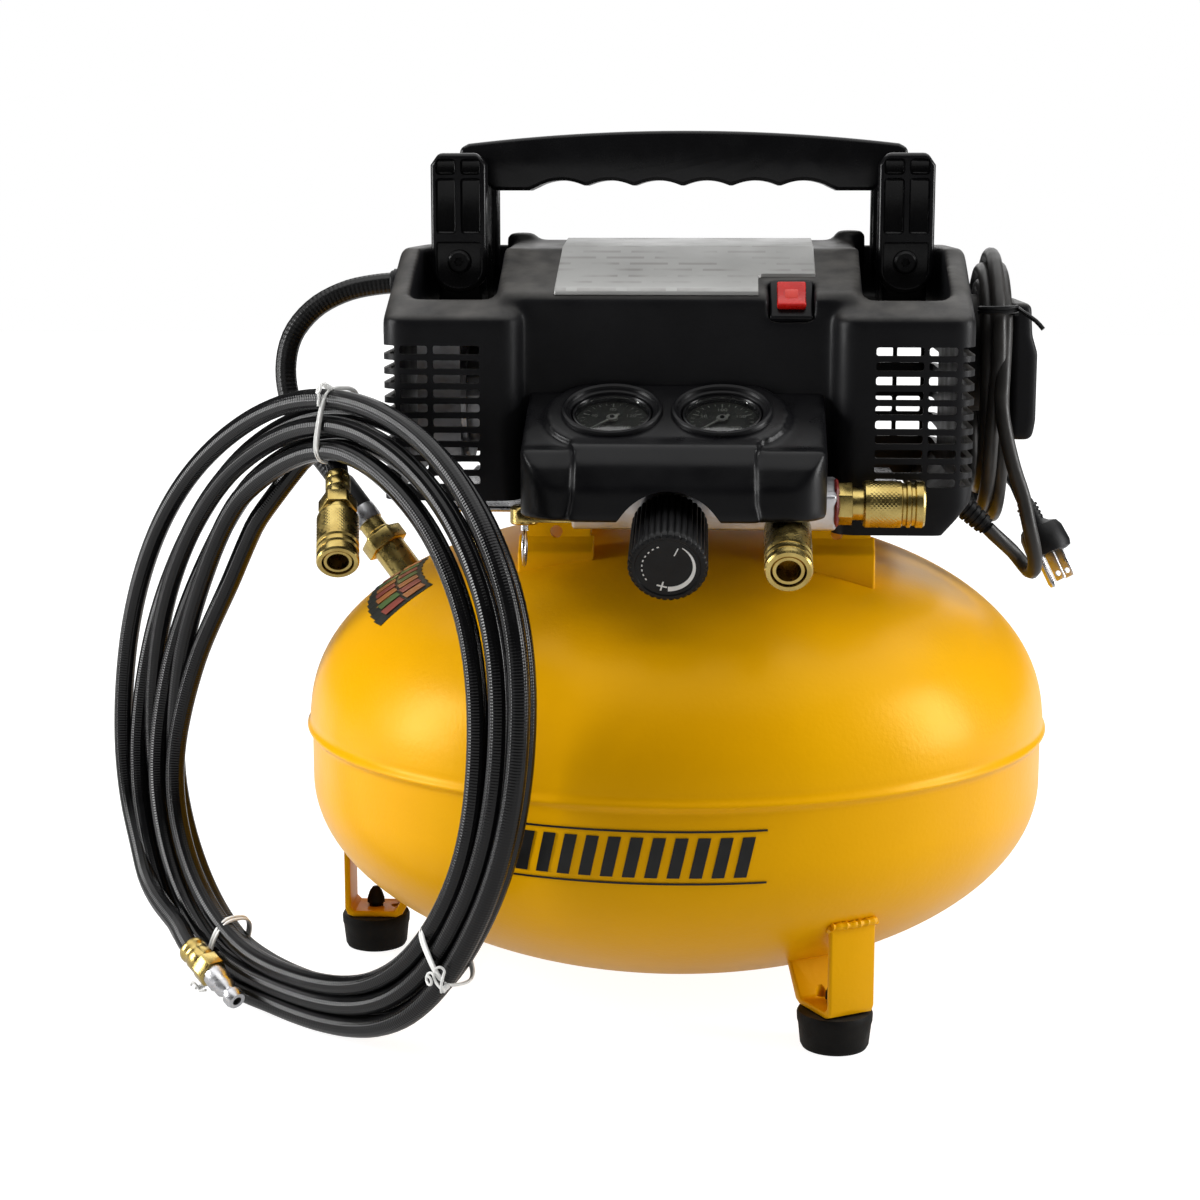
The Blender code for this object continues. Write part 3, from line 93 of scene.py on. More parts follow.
# Reach of the coil's outer and inner edge every 30 degrees, from its right side upwards.
COIL_OUTER = (0.159, 0.167, 0.169, 0.165, 0.162, 0.167, 0.175, 0.186, 0.1815, 0.165, 0.167, 0.159)
COIL_INNER = (0.131, 0.134, 0.137, 0.138, 0.121, 0.108, 0.118, 0.141, 0.1505, 0.144, 0.144, 0.137)
DISCHARGE_ROUTE = ((-0.1406, 0.06, 0.388), (-0.157, 0.06, 0.388), (-0.176, 0.06, 0.3872),
    (-0.197, 0.059, 0.383), (-0.216, 0.057, 0.373), (-0.229, 0.054, 0.357), (-0.233, 0.0505, 0.337),
    (-0.229, 0.046, 0.316), (-0.218, 0.04, 0.296), (-0.204, 0.0335, 0.279), (-0.192, 0.0275, 0.265),
    (-0.1845, 0.024, 0.256))
LEAD_ROUTE = ((0.1722, -0.0446, 0.2592), (0.1765, -0.0436, 0.255), (0.182, -0.0405, 0.25),
    (0.1872, -0.0365, 0.245), (0.1915, -0.0365, 0.24), (0.1945, -0.041, 0.2362), (0.1962, -0.0475, 0.2355),
    (0.197, -0.054, 0.2385), (0.1965, -0.059, 0.245), (0.1948, -0.0615, 0.254), (0.192, -0.062, 0.265),
    (0.1888, -0.0612, 0.279), (0.1837, -0.0602, 0.2937), (0.1787, -0.0595, 0.3124), (0.1762, -0.0582, 0.3284),
    (0.1768, -0.056, 0.345))
TAIL_ROUTE = ((0.179, 0.0565, 0.328), (0.1835, 0.057, 0.312), (0.188, 0.0545, 0.297), (0.1905, 0.0455, 0.286),
    (0.192, 0.032, 0.2795), (0.193, 0.017, 0.278), (0.194, 0.0072, 0.2757), (0.1955, 0.001, 0.2714),
    (0.1985, -0.001, 0.2655))
# Radius, x and height of the lower bend.
CORD_LAPS = ((0.047, 0.1786, 0.3075), (0.038, 0.1784, 0.308), (0.0378, 0.17, 0.315), (0.0462, 0.1699, 0.311),
    (0.0545, 0.1745, 0.311))
PLUG_AXIS = Vector((0.42, -0.25, -0.87)).normalized()


# ---------------------------------------------------------------- mesh helpers
HELPERS = []  # meshes that are removed when their piece is done


def add_object(name, bm):
    bmesh.ops.recalc_face_normals(bm, faces=bm.faces)
    mesh = bpy.data.meshes.new(name)
    bm.to_mesh(mesh)
    bm.free()
    obj = bpy.data.objects.new(name, mesh)
    bpy.context.scene.collection.objects.link(obj)
    HELPERS.append(obj)
    return obj


def wall(bm, first, second, flip=False):
    """Quads between two closed rings of equal length."""
    for i in range(len(first)):
        j = (i + 1) % len(first)
        bm.faces.new((first[i], second[i], second[j], first[j]) if flip
            else (first[i], first[j], second[j], second[i]))


def prism(outline, axis, low, high):
    """Extrude an outline: axis X takes (y, z) points, Y takes (x, z) and Z takes (x, y)."""
    order = {"X": (2, 0, 1), "Y": (0, 2, 1), "Z": (0, 1, 2)}[axis]
    bm = bmesh.new()
    ends = [[bm.verts.new([(*spot, level)[i] for i in order]) for spot in outline] for level in (low, high)]
    bm.faces.new(ends[0])
    bm.faces.new(list(reversed(ends[1])))
    wall(bm, *ends, flip=True)
    return add_object("prism", bm)


def box(low, high):
    outline = [(low[0], low[1]), (high[0], low[1]), (high[0], high[1]), (low[0], high[1])]
    return prism(outline, "Z", low[2], high[2])


def turned(profile, segments=64, closed=False, ripple=None):
    """Turn an outline of (radius, height) points about Z; ripple(angle, radius, height) adds to the radius."""
    bm = bmesh.new()
    rings = []
    for radius, height in profile:
        if radius < 1e-6:
            rings.append([bm.verts.new((0.0, 0.0, height))])
            continue
        ring = []
        for i in range(segments):
            a = 2.0 * math.pi * i / segments
            r = radius + (ripple(a, radius, height) if ripple else 0.0)
            ring.append(bm.verts.new((r * math.cos(a), r * math.sin(a), height)))
        rings.append(ring)
    pairs = list(zip(rings, rings[1:]))
    if closed:
        pairs.append((rings[-1], rings[0]))
    for first, second in pairs:
        for i in range(segments):
            j = (i + 1) % segments
            corners = (first[i % len(first)], first[j % len(first)], second[j % len(second)],
                second[i % len(second)])
            corners = list(dict.fromkeys(corners))
            if len(corners) > 2:
                bm.faces.new(corners)
    return add_object("turned", bm)


def cylinder(radius, low, high, segments=48):
    return turned([(0, low), (radius, low), (radius, high), (0, high)], segments)


def place(obj, location, rotation=(0.0, 0.0, 0.0)):
    """Stand an object somewhere, turned."""
    obj.location = location
    obj.rotation_euler = rotation
    return obj


def aim(obj, location, direction):
    """Stand an object somewhere with its own Z along the direction."""
    obj.location = location
    obj.rotation_euler = Vector(direction).to_track_quat("Z", "Y").to_euler()
    return obj


def bevel(obj, width, segments=3, angle=30.0):
    mod = obj.modifiers.new("Bevel", "BEVEL")
    mod.width = width
    mod.segments = segments
    mod.limit_method = "ANGLE"
    mod.angle_limit = math.radians(angle)
    return obj


def soften(obj, voxel, passes):
    """Merge the solid into one skin and round every edge, inside corners too."""
    mod = obj.modifiers.new("Skin", "REMESH")
    mod.mode = "VOXEL"
    mod.voxel_size = voxel
    mod = obj.modifiers.new("Round", "SMOOTH")
    mod.factor = 0.5
    mod.iterations = passes
    return obj


def boolean(obj, other, operation="DIFFERENCE"):
    mod = obj.modifiers.new("Boolean", "BOOLEAN")
    mod.object = other
    mod.operation = operation
    mod.solver = "MANIFOLD"
    return obj


def settle(obj):
    """Apply the modifiers and the placement, so that the mesh is final where it stands."""
    bpy.context.view_layer.update()
    graph = bpy.context.evaluated_depsgraph_get()
    mesh = bpy.data.meshes.new_from_object(obj.evaluated_get(graph), depsgraph=graph)
    mesh.transform(obj.matrix_world)
    obj.modifiers.clear()
    obj.data = mesh
    obj.matrix_world = Matrix.Identity(4)
    return obj


def join(pieces):
    """One mesh made of several, each settled first."""
    bm = bmesh.new()
    for piece in pieces:
        bm.from_mesh(settle(piece).data)
    return add_object("join", bm)


def smooth_route(points, spacing):
    """Even points along a Catmull-Rom curve through the route's points."""
    points = [Vector(p) for p in points]
    padded = [2 * points[0] - points[1], *points, 2 * points[-1] - points[-2]]
    fine = []
    for a, b, c, d in zip(padded, padded[1:], padded[2:], padded[3:]):
        for step in range(12):
            t = step / 12.0
            fine.append(0.5 * (2 * b + (c - a) * t + (2 * a - 5 * b + 4 * c - d) * t ** 2
                + (3 * b - a - 3 * c + d) * t ** 3))
    fine.append(points[-1])
    total = sum((q - p).length for p, q in zip(fine, fine[1:]))
    count = max(2, round(total / spacing))
    even, walked, target = [fine[0]], 0.0, total / count
    for p, q in zip(fine, fine[1:]):
        length = (q - p).length
        while walked + length >= target - 1e-9 and len(even) < count:
            even.append(p.lerp(q, (target - walked) / length))
            target += total / count
        walked += length
    return even + [fine[-1]]


def tube(points, radius, sides=16, flat=1.0, radii=None, closed=False):
    """A round skin along the points, with a UV map: turns round it, metres along it."""
    points = [Vector(p) for p in points]
    count = len(points)
    bm = bmesh.new()
    uv = bm.loops.layers.uv.new("UVMap")
    up = None
    rings, along, walked = [], [], 0.0
    for i, p in enumerate(points):
        if closed:
            forward = (points[(i + 1) % count] - points[i - 1]).normalized()
        else:
            forward = (points[min(i + 1, count - 1)] - points[max(i - 1, 0)]).normalized()
        if up is None:
            up = forward.orthogonal().normalized()
        up = (up - forward * up.dot(forward)).normalized()
        side = forward.cross(up)
        r = radii[i] if radii else radius
        ring = []
        for k in range(sides):
            a = 2.0 * math.pi * k / sides
            ring.append(bm.verts.new(p + (up * math.cos(a) + side * (math.sin(a) * flat)) * r))
        if i:
            walked += (p - points[i - 1]).length
        rings.append(ring)
        along.append(walked)
    pairs = list(range(count - 1)) + ([count - 1] if closed else [])
    for i in pairs:
        j = (i + 1) % count
        for k in range(sides):
            m = (k + 1) % sides
            face = bm.faces.new((rings[i][k], rings[i][m], rings[j][m], rings[j][k]))
            v0, v1 = along[i], along[j] if j else along[i] + (points[0] - points[i]).length
            for loop, (u, v) in zip(face.loops, ((k, v0), (k + 1, v0), (k + 1, v1), (k, v1))):
                loop[uv].uv = (u / sides, v)
    if not closed:
        for ring in (rings[0], rings[-1]):
            bm.faces.new(ring)
    return add_object("tube", bm)


def piece(name, sources, finish, slot=None, body="machine", replaces=(), crease=35.0):
    """Settle the sources into one finished piece that rides on a CAD body."""
    sources = sources if isinstance(sources, (list, tuple)) else [sources]
    bm = bmesh.new()
    for source in sources:
        bm.from_mesh(settle(source).data)
    bmesh.ops.translate(bm, verts=bm.verts, vec=SHIFT)
    obj = add_object(name, bm)
    HELPERS.remove(obj)
    obj.name = name
    obj.data.materials.append(finish.mat)
    obj.data.shade_smooth()
    obj.data.set_sharp_from_angle(angle=math.radians(crease))
    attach(obj, body)
    if replaces:
        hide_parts(*replaces)
    while HELPERS:
        bpy.data.objects.remove(HELPERS.pop())
    return obj


# ---------------------------------------------------------------- finishes
class Finish:
    """A procedural material with the slot it stands for: two tones, roughness and bump from noise."""

    def __init__(self, name, slot, light, dark, rough, metallic=0.0, blotch=30.0, spread=0.08, grain=900.0,
            bump=0.15, depth=0.0004, **sockets):
        self.mat, self.slot = bpy.data.materials.new(name), slot
        self.mat.use_nodes = True
        self.nodes, self.links = self.mat.node_tree.nodes, self.mat.node_tree.links
        self.shader = self.nodes["Principled BSDF"]
        self.shader.inputs["Metallic"].default_value = metallic
        for key, value in sockets.items():
            self.shader.inputs[key.replace("_", " ")].default_value = value
        self.coords = self.nodes.new("ShaderNodeTexCoord")
        self.tone = self.blend(self.noise(blotch, 5.0), light, dark, 0.35, 0.65)
        self.links.new(self.tone, self.shader.inputs["Base Color"])
        fac = self.span(self.noise(blotch * 2.3, 4.0), 0.3, 0.7, rough - spread, rough + spread)
        self.links.new(fac, self.shader.inputs["Roughness"])
        self.relief(self.noise(grain, 2.0), bump, depth)

    def noise(self, scale, detail=2.0, source="Object"):
        node = self.nodes.new("ShaderNodeTexNoise")
        node.inputs["Scale"].default_value = scale
        node.inputs["Detail"].default_value = detail
        self.links.new(self.coords.outputs[source], node.inputs["Vector"])
        return node.outputs["Fac"]

    def span(self, value, low, high, to_low, to_high):
        node = self.nodes.new("ShaderNodeMapRange")
        self.links.new(value, node.inputs["Value"])
        for key, number in (("From Min", low), ("From Max", high), ("To Min", to_low), ("To Max", to_high)):
            node.inputs[key].default_value = number
        return node.outputs["Result"]

    def blend(self, fac, first, second, low=0.0, high=1.0):
        node = self.nodes.new("ShaderNodeMix")
        node.data_type = "RGBA"
        self.links.new(self.span(fac, low, high, 0.0, 1.0), node.inputs["Factor"])
        for key, value in ((6, first), (7, second)):
            if isinstance(value, tuple):
                node.inputs[key].default_value = (*value, 1.0)
            else:
                self.links.new(value, node.inputs[key])
        return node.outputs[2]

    def math(self, operation, *values):
        node = self.nodes.new("ShaderNodeMath")
        node.operation = operation
        for socket, value in zip(node.inputs, values):
            if isinstance(value, (int, float)):
                socket.default_value = value
            else:
                self.links.new(value, socket)
        return node.outputs[0]

    def relief(self, height, strength, depth):
        node = self.nodes.new("ShaderNodeBump")
        node.inputs["Strength"].default_value = strength
        node.inputs["Distance"].default_value = depth
        self.links.new(height, node.inputs["Height"])
        before = self.shader.inputs["Normal"].links
        if before:
            self.links.new(before[0].from_socket, node.inputs["Normal"])
        self.links.new(node.outputs["Normal"], self.shader.inputs["Normal"])

    def paint_over(self, fac, color, low=0.0, high=1.0):
        self.tone = self.blend(fac, self.tone, color, low, high)
        self.links.new(self.tone, self.shader.inputs["Base Color"])

    def dust_and_sheen(self, color, amount, start=0.55):
        """Settled dust and a painted sheen: lighter where the surface faces up, broken by noise."""
        normal = self.nodes.new("ShaderNodeNewGeometry").outputs["Normal"]
        split = self.nodes.new("ShaderNodeSeparateXYZ")
        self.links.new(normal, split.inputs[0])
        up = self.span(split.outputs["Z"], start, 1.0, 0.0, 1.0)
        cover = self.span(self.noise(60.0, 6.0), 0.3, 0.75, 0.25 * amount, amount)
        self.paint_over(self.math("MULTIPLY", up, cover), color)

    def axis(self, letter, source="Object"):
        split = self.nodes.new("ShaderNodeSeparateXYZ")
        self.links.new(self.coords.outputs[source], split.inputs[0])
        return split.outputs[letter]


PAINT = Finish("yellow_enamel", "yellow_paint", (0.84, 0.41, 0.0008), (0.78, 0.37, 0.0006), 0.32, blotch=9.0,
    spread=0.04, grain=420.0, bump=0.2, depth=0.0005, Specular_IOR_Level=0.3,
    Specular_Tint=(1.0, 0.72, 0.1, 1.0))
PAINT.relief(PAINT.noise(70.0, 3.0), 0.08, 0.0012)
COVER = Finish("moulded_black", "black_plastic", (0.0085, 0.0085, 0.0095), (0.005, 0.005, 0.0058), 0.42,
    blotch=22.0, grain=1500.0, bump=0.22, depth=0.00025, Specular_IOR_Level=0.13)
# Cover tops lighter grey: dust, plus a painted sheen for the light falling on the up-facing faces.
COVER.dust_and_sheen((0.15, 0.142, 0.13), 0.6, 0.38)
GLOSS = Finish("gloss_black", "black_plastic", (0.006, 0.006, 0.0066), (0.0035, 0.0035, 0.004), 0.24,
    blotch=30.0, spread=0.06, grain=600.0, bump=0.06, depth=0.0003, Specular_IOR_Level=0.24)
HOOD = Finish("console_black", "black_plastic", (0.0048, 0.0048, 0.0056), (0.0028, 0.0028, 0.0034), 0.34,
    blotch=26.0, grain=1300.0, bump=0.16, depth=0.00022, Specular_IOR_Level=0.16)
RUBBER = Finish("foot_rubber", "black_rubber", (0.0075, 0.0068, 0.006), (0.0045, 0.0042, 0.0038), 0.58,
    blotch=60.0, grain=700.0, bump=0.3, depth=0.0004, Specular_IOR_Level=0.14)
# Feet lighter grey where they face up, broken by noise.
RUBBER.dust_and_sheen((0.1, 0.095, 0.085), 0.4, 0.5)
CORD = Finish("cord_sheath", "black_rubber", (0.026, 0.024, 0.022), (0.015, 0.014, 0.013), 0.42, blotch=70.0,
    grain=800.0, bump=0.12, depth=0.0003, Specular_IOR_Level=0.35)
DARK = Finish("soft_black", "grey_rubber", (0.0065, 0.0065, 0.007), (0.004, 0.004, 0.0044), 0.44, blotch=50.0,
    grain=1100.0, bump=0.2, depth=0.0003, Specular_IOR_Level=0.2)
BRASS = Finish("brass_plate", "brass", (0.56, 0.43, 0.15), (0.4, 0.29, 0.09), 0.27, 1.0, blotch=90.0,
    spread=0.09, grain=900.0, bump=0.08, depth=0.0002)
STEEL = Finish("zinc_plate", "zinc_steel", (0.66, 0.66, 0.67), (0.5, 0.5, 0.52), 0.32, 1.0, blotch=110.0,
    spread=0.1, grain=1000.0, bump=0.1, depth=0.0002)
ALLOY = Finish("cast_metal", "cast_alloy", (0.6, 0.6, 0.61), (0.44, 0.44, 0.46), 0.42, 1.0, blotch=60.0,
    spread=0.1, grain=500.0, bump=0.3, depth=0.0005)
RED = Finish("switch_red", "switch_red", (0.55, 0.01, 0.006), (0.46, 0.006, 0.004), 0.26, blotch=120.0,
    grain=900.0, bump=0.05, depth=0.0002, Coat_Weight=0.15, Coat_Roughness=0.1, Specular_IOR_Level=0.2)
PALE_RED = Finish("switch_mark", "switch_red", (0.62, 0.045, 0.03), (0.54, 0.03, 0.02), 0.3, blotch=120.0,
    Specular_IOR_Level=0.2)
WHITE = Finish("pale_print", "needle_white", (0.82, 0.82, 0.8), (0.72, 0.72, 0.7), 0.5, blotch=80.0, bump=0.05)
# Dial marks and pointers in dim grey: painted shade of the deep gauge wells, not their own colour.
SHADED_DIAL_INK = Finish("dial_print_in_shade", "needle_white", (0.2, 0.2, 0.18), (0.14, 0.14, 0.13), 0.5, blotch=80.0,
    bump=0.05)
TIE = Finish("tie_plastic", "needle_white", (0.86, 0.86, 0.84), (0.72, 0.72, 0.7), 0.42, blotch=160.0,
    grain=500.0, bump=0.1)
DIAL = Finish("dial_face", "black_plastic", (0.018, 0.019, 0.015), (0.01, 0.011, 0.009), 0.5, blotch=120.0,
    bump=0.05, Specular_IOR_Level=0.2)
INK = Finish("black_print", "black_plastic", (0.012, 0.012, 0.012), (0.008, 0.008, 0.008), 0.38, blotch=60.0,
    grain=400.0, Specular_IOR_Level=0.25)
SEALANT = Finish("thread_sealant", "switch_red", (0.2, 0.01, 0.008), (0.12, 0.006, 0.005), 0.5, blotch=200.0,
    bump=0.4)
GLASS = Finish("clear_lens", "clear_lens", (0.97, 0.98, 0.97), (0.93, 0.95, 0.94), 0.04, blotch=40.0,
    spread=0.02, grain=200.0, bump=0.02, Transmission_Weight=1.0, IOR=1.45)


def braid_finish(name, tone, low_tone, rough, rows, pitch, strength, depth):
    """Rubber hose with the crossed imprint of its braid, from the tube's own UV map."""
    finish = Finish(name, "black_rubber", tone, low_tone, rough, blotch=40.0, spread=0.05, grain=900.0,
        bump=0.08, depth=0.0003, Specular_IOR_Level=0.28)
    u, v = finish.axis("X", "UV"), finish.axis("Y", "UV")
    turns = finish.math("MULTIPLY", u, 2.0 * math.pi * rows)
    run = finish.math("MULTIPLY", v, 2.0 * math.pi / pitch)
    first = finish.math("SINE", finish.math("ADD", turns, run))
    second = finish.math("SINE", finish.math("SUBTRACT", turns, run))
    finish.relief(finish.math("MULTIPLY", first, second), strength, depth)
    return finish


HOSE = braid_finish("hose_braid", (0.0045, 0.0045, 0.005), (0.003, 0.003, 0.0033), 0.17, 8, 0.003, 0.3, 0.0003)
DISCHARGE = braid_finish("discharge_braid", (0.0075, 0.0075, 0.0075), (0.005, 0.005, 0.005), 0.36, 6, 0.0052,
    0.35, 0.0004)


def label_finish():
    """Brushed silver plate with rows of faint bars."""
    finish = Finish("label_plate", "black_plastic", (0.36, 0.36, 0.35), (0.31, 0.31, 0.3), 0.38, 0.25,
        blotch=14.0, grain=900.0, bump=0.05)
    brick = finish.nodes.new("ShaderNodeTexBrick")
    for key, value in (("Scale", 1.0), ("Mortar Size", 0.003), ("Mortar Smooth", 0.1), ("Brick Width", 0.026),
            ("Row Height", 0.0088), ("Bias", 0.0)):
        brick.inputs[key].default_value = value
    finish.links.new(finish.coords.outputs["Object"], brick.inputs["Vector"])
    bars = finish.math("SUBTRACT", 1.0, brick.outputs["Fac"])
    worn = finish.span(finish.noise(38.0, 3.0), 0.42, 0.6, 0.0, 0.55)
    finish.paint_over(finish.math("MULTIPLY", bars, worn), (0.17, 0.16, 0.15))
    return finish


LABEL = label_finish()


def block_finish(name, color):
    return Finish(name, "yellow_paint", color, tuple(0.8 * c for c in color), 0.4, blotch=50.0, grain=500.0,
        bump=0.05)


# ---------------------------------------------------------------- camera, light and floor
FOCAL_LENGTH, SENSOR_WIDTH = 69.525, 36.0  # millimetres
CAMERA_SPOT, CAMERA_DIP, CAMERA_HEADING = (0.0456, -1.3138, 0.4405), 0.1741, 0.05743
SUN_POWER, SUN_SPREAD = 2.8, math.radians(90.0)
# Name, place, size, watts.
SOFTBOXES = (("left_softbox", (-1.45, -0.35, 0.6), (0.5, 0.9), 22.0),
    ("right_softbox", (1.5, -0.15, 0.6), (0.5, 0.9), 18.0), ("back_softbox", (0.2, 1.5, 1.0), (1.6, 1.0), 7.0))
LIT_MIDDLE = Vector((0.0, 0.0, 0.2))
AMBIENT = 0.05
FLOOR_GLOW, FLOOR_GLOW_SEEN = 0.35, 0.57  # light the sweep gives, and what the view adds to it


def make_stage():
    """Camera, white world, overhead light, softboxes and the pale sweep."""
    scene = bpy.context.scene
    data = bpy.data.cameras.new("camera")
    data.lens, data.sensor_width = FOCAL_LENGTH, SENSOR_WIDTH
    camera = bpy.data.objects.new("camera", data)
    camera.location = CAMERA_SPOT
    camera.rotation_euler = (QUARTER_TURN - CAMERA_DIP, 0.0, CAMERA_HEADING)
    scene.collection.objects.link(camera)
    scene.camera = camera
    scene.view_settings.view_transform = "Standard"
    world = bpy.data.worlds.new("studio")
    scene.world = world
    world.use_nodes = True
    nodes, links = world.node_tree.nodes, world.node_tree.links
    soft, paper = nodes["Background"], nodes.new("ShaderNodeBackground")
    for shader, strength in ((soft, AMBIENT), (paper, 1.0)):
        shader.inputs["Color"].default_value = (1.0, 1.0, 1.0, 1.0)
        shader.inputs["Strength"].default_value = strength
    pick, rays = nodes.new("ShaderNodeMixShader"), nodes.new("ShaderNodeLightPath")
    links.new(rays.outputs["Is Camera Ray"], pick.inputs[0])
    links.new(soft.outputs[0], pick.inputs[1])
    links.new(paper.outputs[0], pick.inputs[2])
    links.new(pick.outputs[0], nodes["World Output"].inputs["Surface"])
    sun = bpy.data.lights.new("overhead", "SUN")
    sun.energy, sun.angle = SUN_POWER, SUN_SPREAD
    lamp = bpy.data.objects.new("overhead", sun)
    lamp.rotation_euler = (math.radians(-8.0), math.radians(4.0), 0.0)
    scene.collection.objects.link(lamp)
    for name, spot, size, power in SOFTBOXES:
        light = bpy.data.lights.new(name, "AREA")
        light.shape, light.size, light.size_y, light.energy = "RECTANGLE", size[0], size[1], power
        lamp = bpy.data.objects.new(name, light)
        lamp.location = spot
        lamp.rotation_euler = (LIT_MIDDLE - Vector(spot)).to_track_quat("-Z", "Y").to_euler()
        scene.collection.objects.link(lamp)
    bm = bmesh.new()
    bmesh.ops.create_grid(bm, x_segments=2, y_segments=2, size=6.0)
    floor = add_object("floor", bm)
    HELPERS.remove(floor)
    sweep = Finish("floor_white", None, (0.36, 0.36, 0.36), (0.35, 0.35, 0.35), 0.95, blotch=3.0, grain=40.0,
        bump=0.01, spread=0.02, Specular_IOR_Level=0.0, Emission_Color=(1.0, 1.0, 1.0, 1.0))
    rays = sweep.nodes.new("ShaderNodeLightPath")
    seen = sweep.math("MULTIPLY_ADD", rays.outputs["Is Camera Ray"], FLOOR_GLOW_SEEN, FLOOR_GLOW)
    sweep.links.new(seen, sweep.shader.inputs["Emission Strength"])
    floor.data.materials.append(sweep.mat)


# ---------------------------------------------------------------- power cord
def cord_points():
    """The lead up to the drum, the laps round it, and the tail down to the plug."""
    points = [Vector(p) for p in LEAD_ROUTE]
    for index, (radius, x, low) in enumerate(CORD_LAPS):
        after = CORD_LAPS[min(index + 1, len(CORD_LAPS) - 1)]
        first = 160.0 if index == 0 else 180.0
        for step in range(9):
            turn = math.radians(first - first * step / 8)
            points.append(Vector((x, radius * math.cos(turn), WRAP_DRUM_Z + radius * math.sin(turn))))
        if index == len(CORD_LAPS) - 1:
            break
        points.append(Vector((x, radius, 0.5 * (WRAP_DRUM_Z + low))))
        for step in range(9):
            share = step / 8
            turn = math.radians(-180.0 * share)
            reach = radius + (after[0] - radius) * max(0.0, share - 0.5)
            points.append(Vector((x + (after[1] - x) * 0.5 * share, reach * math.cos(turn),
                low + reach * math.sin(turn))))
        points.append(Vector((0.5 * (x + after[1]) + 0.25 * (after[1] - x), -0.25 * radius - 0.75 * after[0],
            0.5 * (WRAP_DRUM_Z + low))))
    return points + [Vector(p) for p in TAIL_ROUTE]


def ribs(count, low, wide, taper, land, groove):
    """Outline of a ribbed rubber sleeve, 3.4 mm from rib to rib."""
    points = []
    for i in range(count):
        z, r = low + 0.0034 * i, wide - taper * i
        points += [(r, z), (r, z + land), (r - groove, z + land + 0.0004), (r - groove, z + 0.0031)]
    return points


def make_power_cord():
    """Cord, plug, strain relief and the tie round the laps."""
    path = smooth_route(cord_points(), 0.0055)
    cord = piece("power_cord", tube(path, CORD_RADIUS, 14), CORD,
        replaces=("power_cord_lead", "power_cord_hank", "power_cord_tail"))
    rear = Vector(TAIL_ROUTE[-1]) + PLUG_AXIS * 0.001
    body = turned([(0, -0.004), (0.0046, -0.004), (0.005, 0.0), (0.0058, 0.009), (0.008, 0.011),
        (0.0118, 0.0125), (0.0134, 0.016), (0.014, 0.0255), (0.0132, 0.0285), (0.011, 0.0292), (0, 0.0292)], 48,
        ripple=lambda a, r, h: -0.0022 * max(0.0, -math.sin(a)) if h > 0.012 else 0.0)
    collars = [turned([(0.004, z), (0.006, z), (0.006, z + 0.0012), (0.004, z + 0.0012)], 32, True)
        for z in (-0.001, 0.0015, 0.004, 0.0065)]
    body = join([body] + collars)
    plug = piece("power_plug_body", aim(body, rear, PLUG_AXIS), DARK, replaces=("power_plug",))
    prongs = []
    for x in (-0.0064, 0.0064):
        prong = bevel(box((x - 0.0008, -0.0001, 0.027), (x + 0.0008, 0.0061, 0.045)), 0.0006, 2)
        hole = place(cylinder(0.0016, -0.01, 0.01, 20), (x, 0.003, 0.0412), ALONG_X)
        boolean(prong, hole)
        prongs.append(aim(settle(prong), rear, PLUG_AXIS))
    ground = turned([(0, 0.027), (0.0024, 0.027), (0.0024, 0.0445), (0.0018, 0.0465), (0, 0.047)], 24)
    ground.data.transform(Matrix.Translation((0.0, -0.006, 0.0)))
    prongs.append(aim(ground, rear, PLUG_AXIS))
    blades = piece("power_plug_blades", prongs, STEEL)
    outward = Vector((0.7525, 0.0, -0.6587)).normalized()
    rings = [(0, 0.0), (0.0082, 0.0), (0.0086, 0.001), (0.0084, 0.0034), (0.007, 0.0044)]
    rings += ribs(6, 0.005, 0.0067, 0.00022, 0.002, 0.0011) + [(0.0051, 0.0262), (0, 0.0262)]
    relief = aim(turned(rings, 40), Vector((0.1513, -0.0445, 0.2775)) + outward * 0.0004, outward)
    piece("cord_strain_relief", relief, DARK, replaces=("strain_relief",))
    loop = []
    for i in range(40):
        turn = 2.0 * math.pi * i / 20
        loop.append((0.1743 + 0.01 * math.cos(turn), -0.0475 + 0.0095 * math.sin(turn), 0.376 + 0.0001 * i))
    tail = smooth_route([(0.184, -0.05, 0.3795), (0.187, -0.059, 0.377), (0.1925, -0.064, 0.373),
        (0.196, -0.066, 0.369)], 0.003)
    piece("cord_tie", [tube(loop, 0.0013, 8), tube(tail, 0.0012, 8)], DARK, "black_rubber")


# ---------------------------------------------------------------- air hose
def coil_point(across, up, out=0.0):
    """A point in the hose coil's own frame: across and up in its plane, out away from the tank."""
    away = Vector((-math.sin(COIL_AZIMUTH), -math.cos(COIL_AZIMUTH), 0.0))
    level = Vector((math.cos(COIL_AZIMUTH), -math.sin(COIL_AZIMUTH), 0.0))
    rise = (Vector((0, 0, 1)) * math.cos(COIL_LEAN) - away * math.sin(COIL_LEAN))
    normal = (away * math.cos(COIL_LEAN) + Vector((0, 0, 1)) * math.sin(COIL_LEAN))
    foot = away * (COIL_DISTANCE + SEAM_Z * math.tan(COIL_LEAN))
    return foot + level * across + rise * up + normal * out


def coil_reach(row, degrees):
    """Distance of a coil edge from the coil's middle, smooth through the stations."""
    step = 360.0 / len(row)
    degrees %= 360.0
    index = int(degrees // step)
    t = degrees / step - index
    a, b, c, d = (row[(index + k) % len(row)] for k in (-1, 0, 1, 2))
    return 0.5 * (2 * b + (c - a) * t + (2 * a - 5 * b + 4 * c - d) * t ** 2 + (3 * b - a - 3 * c + d) * t ** 3)


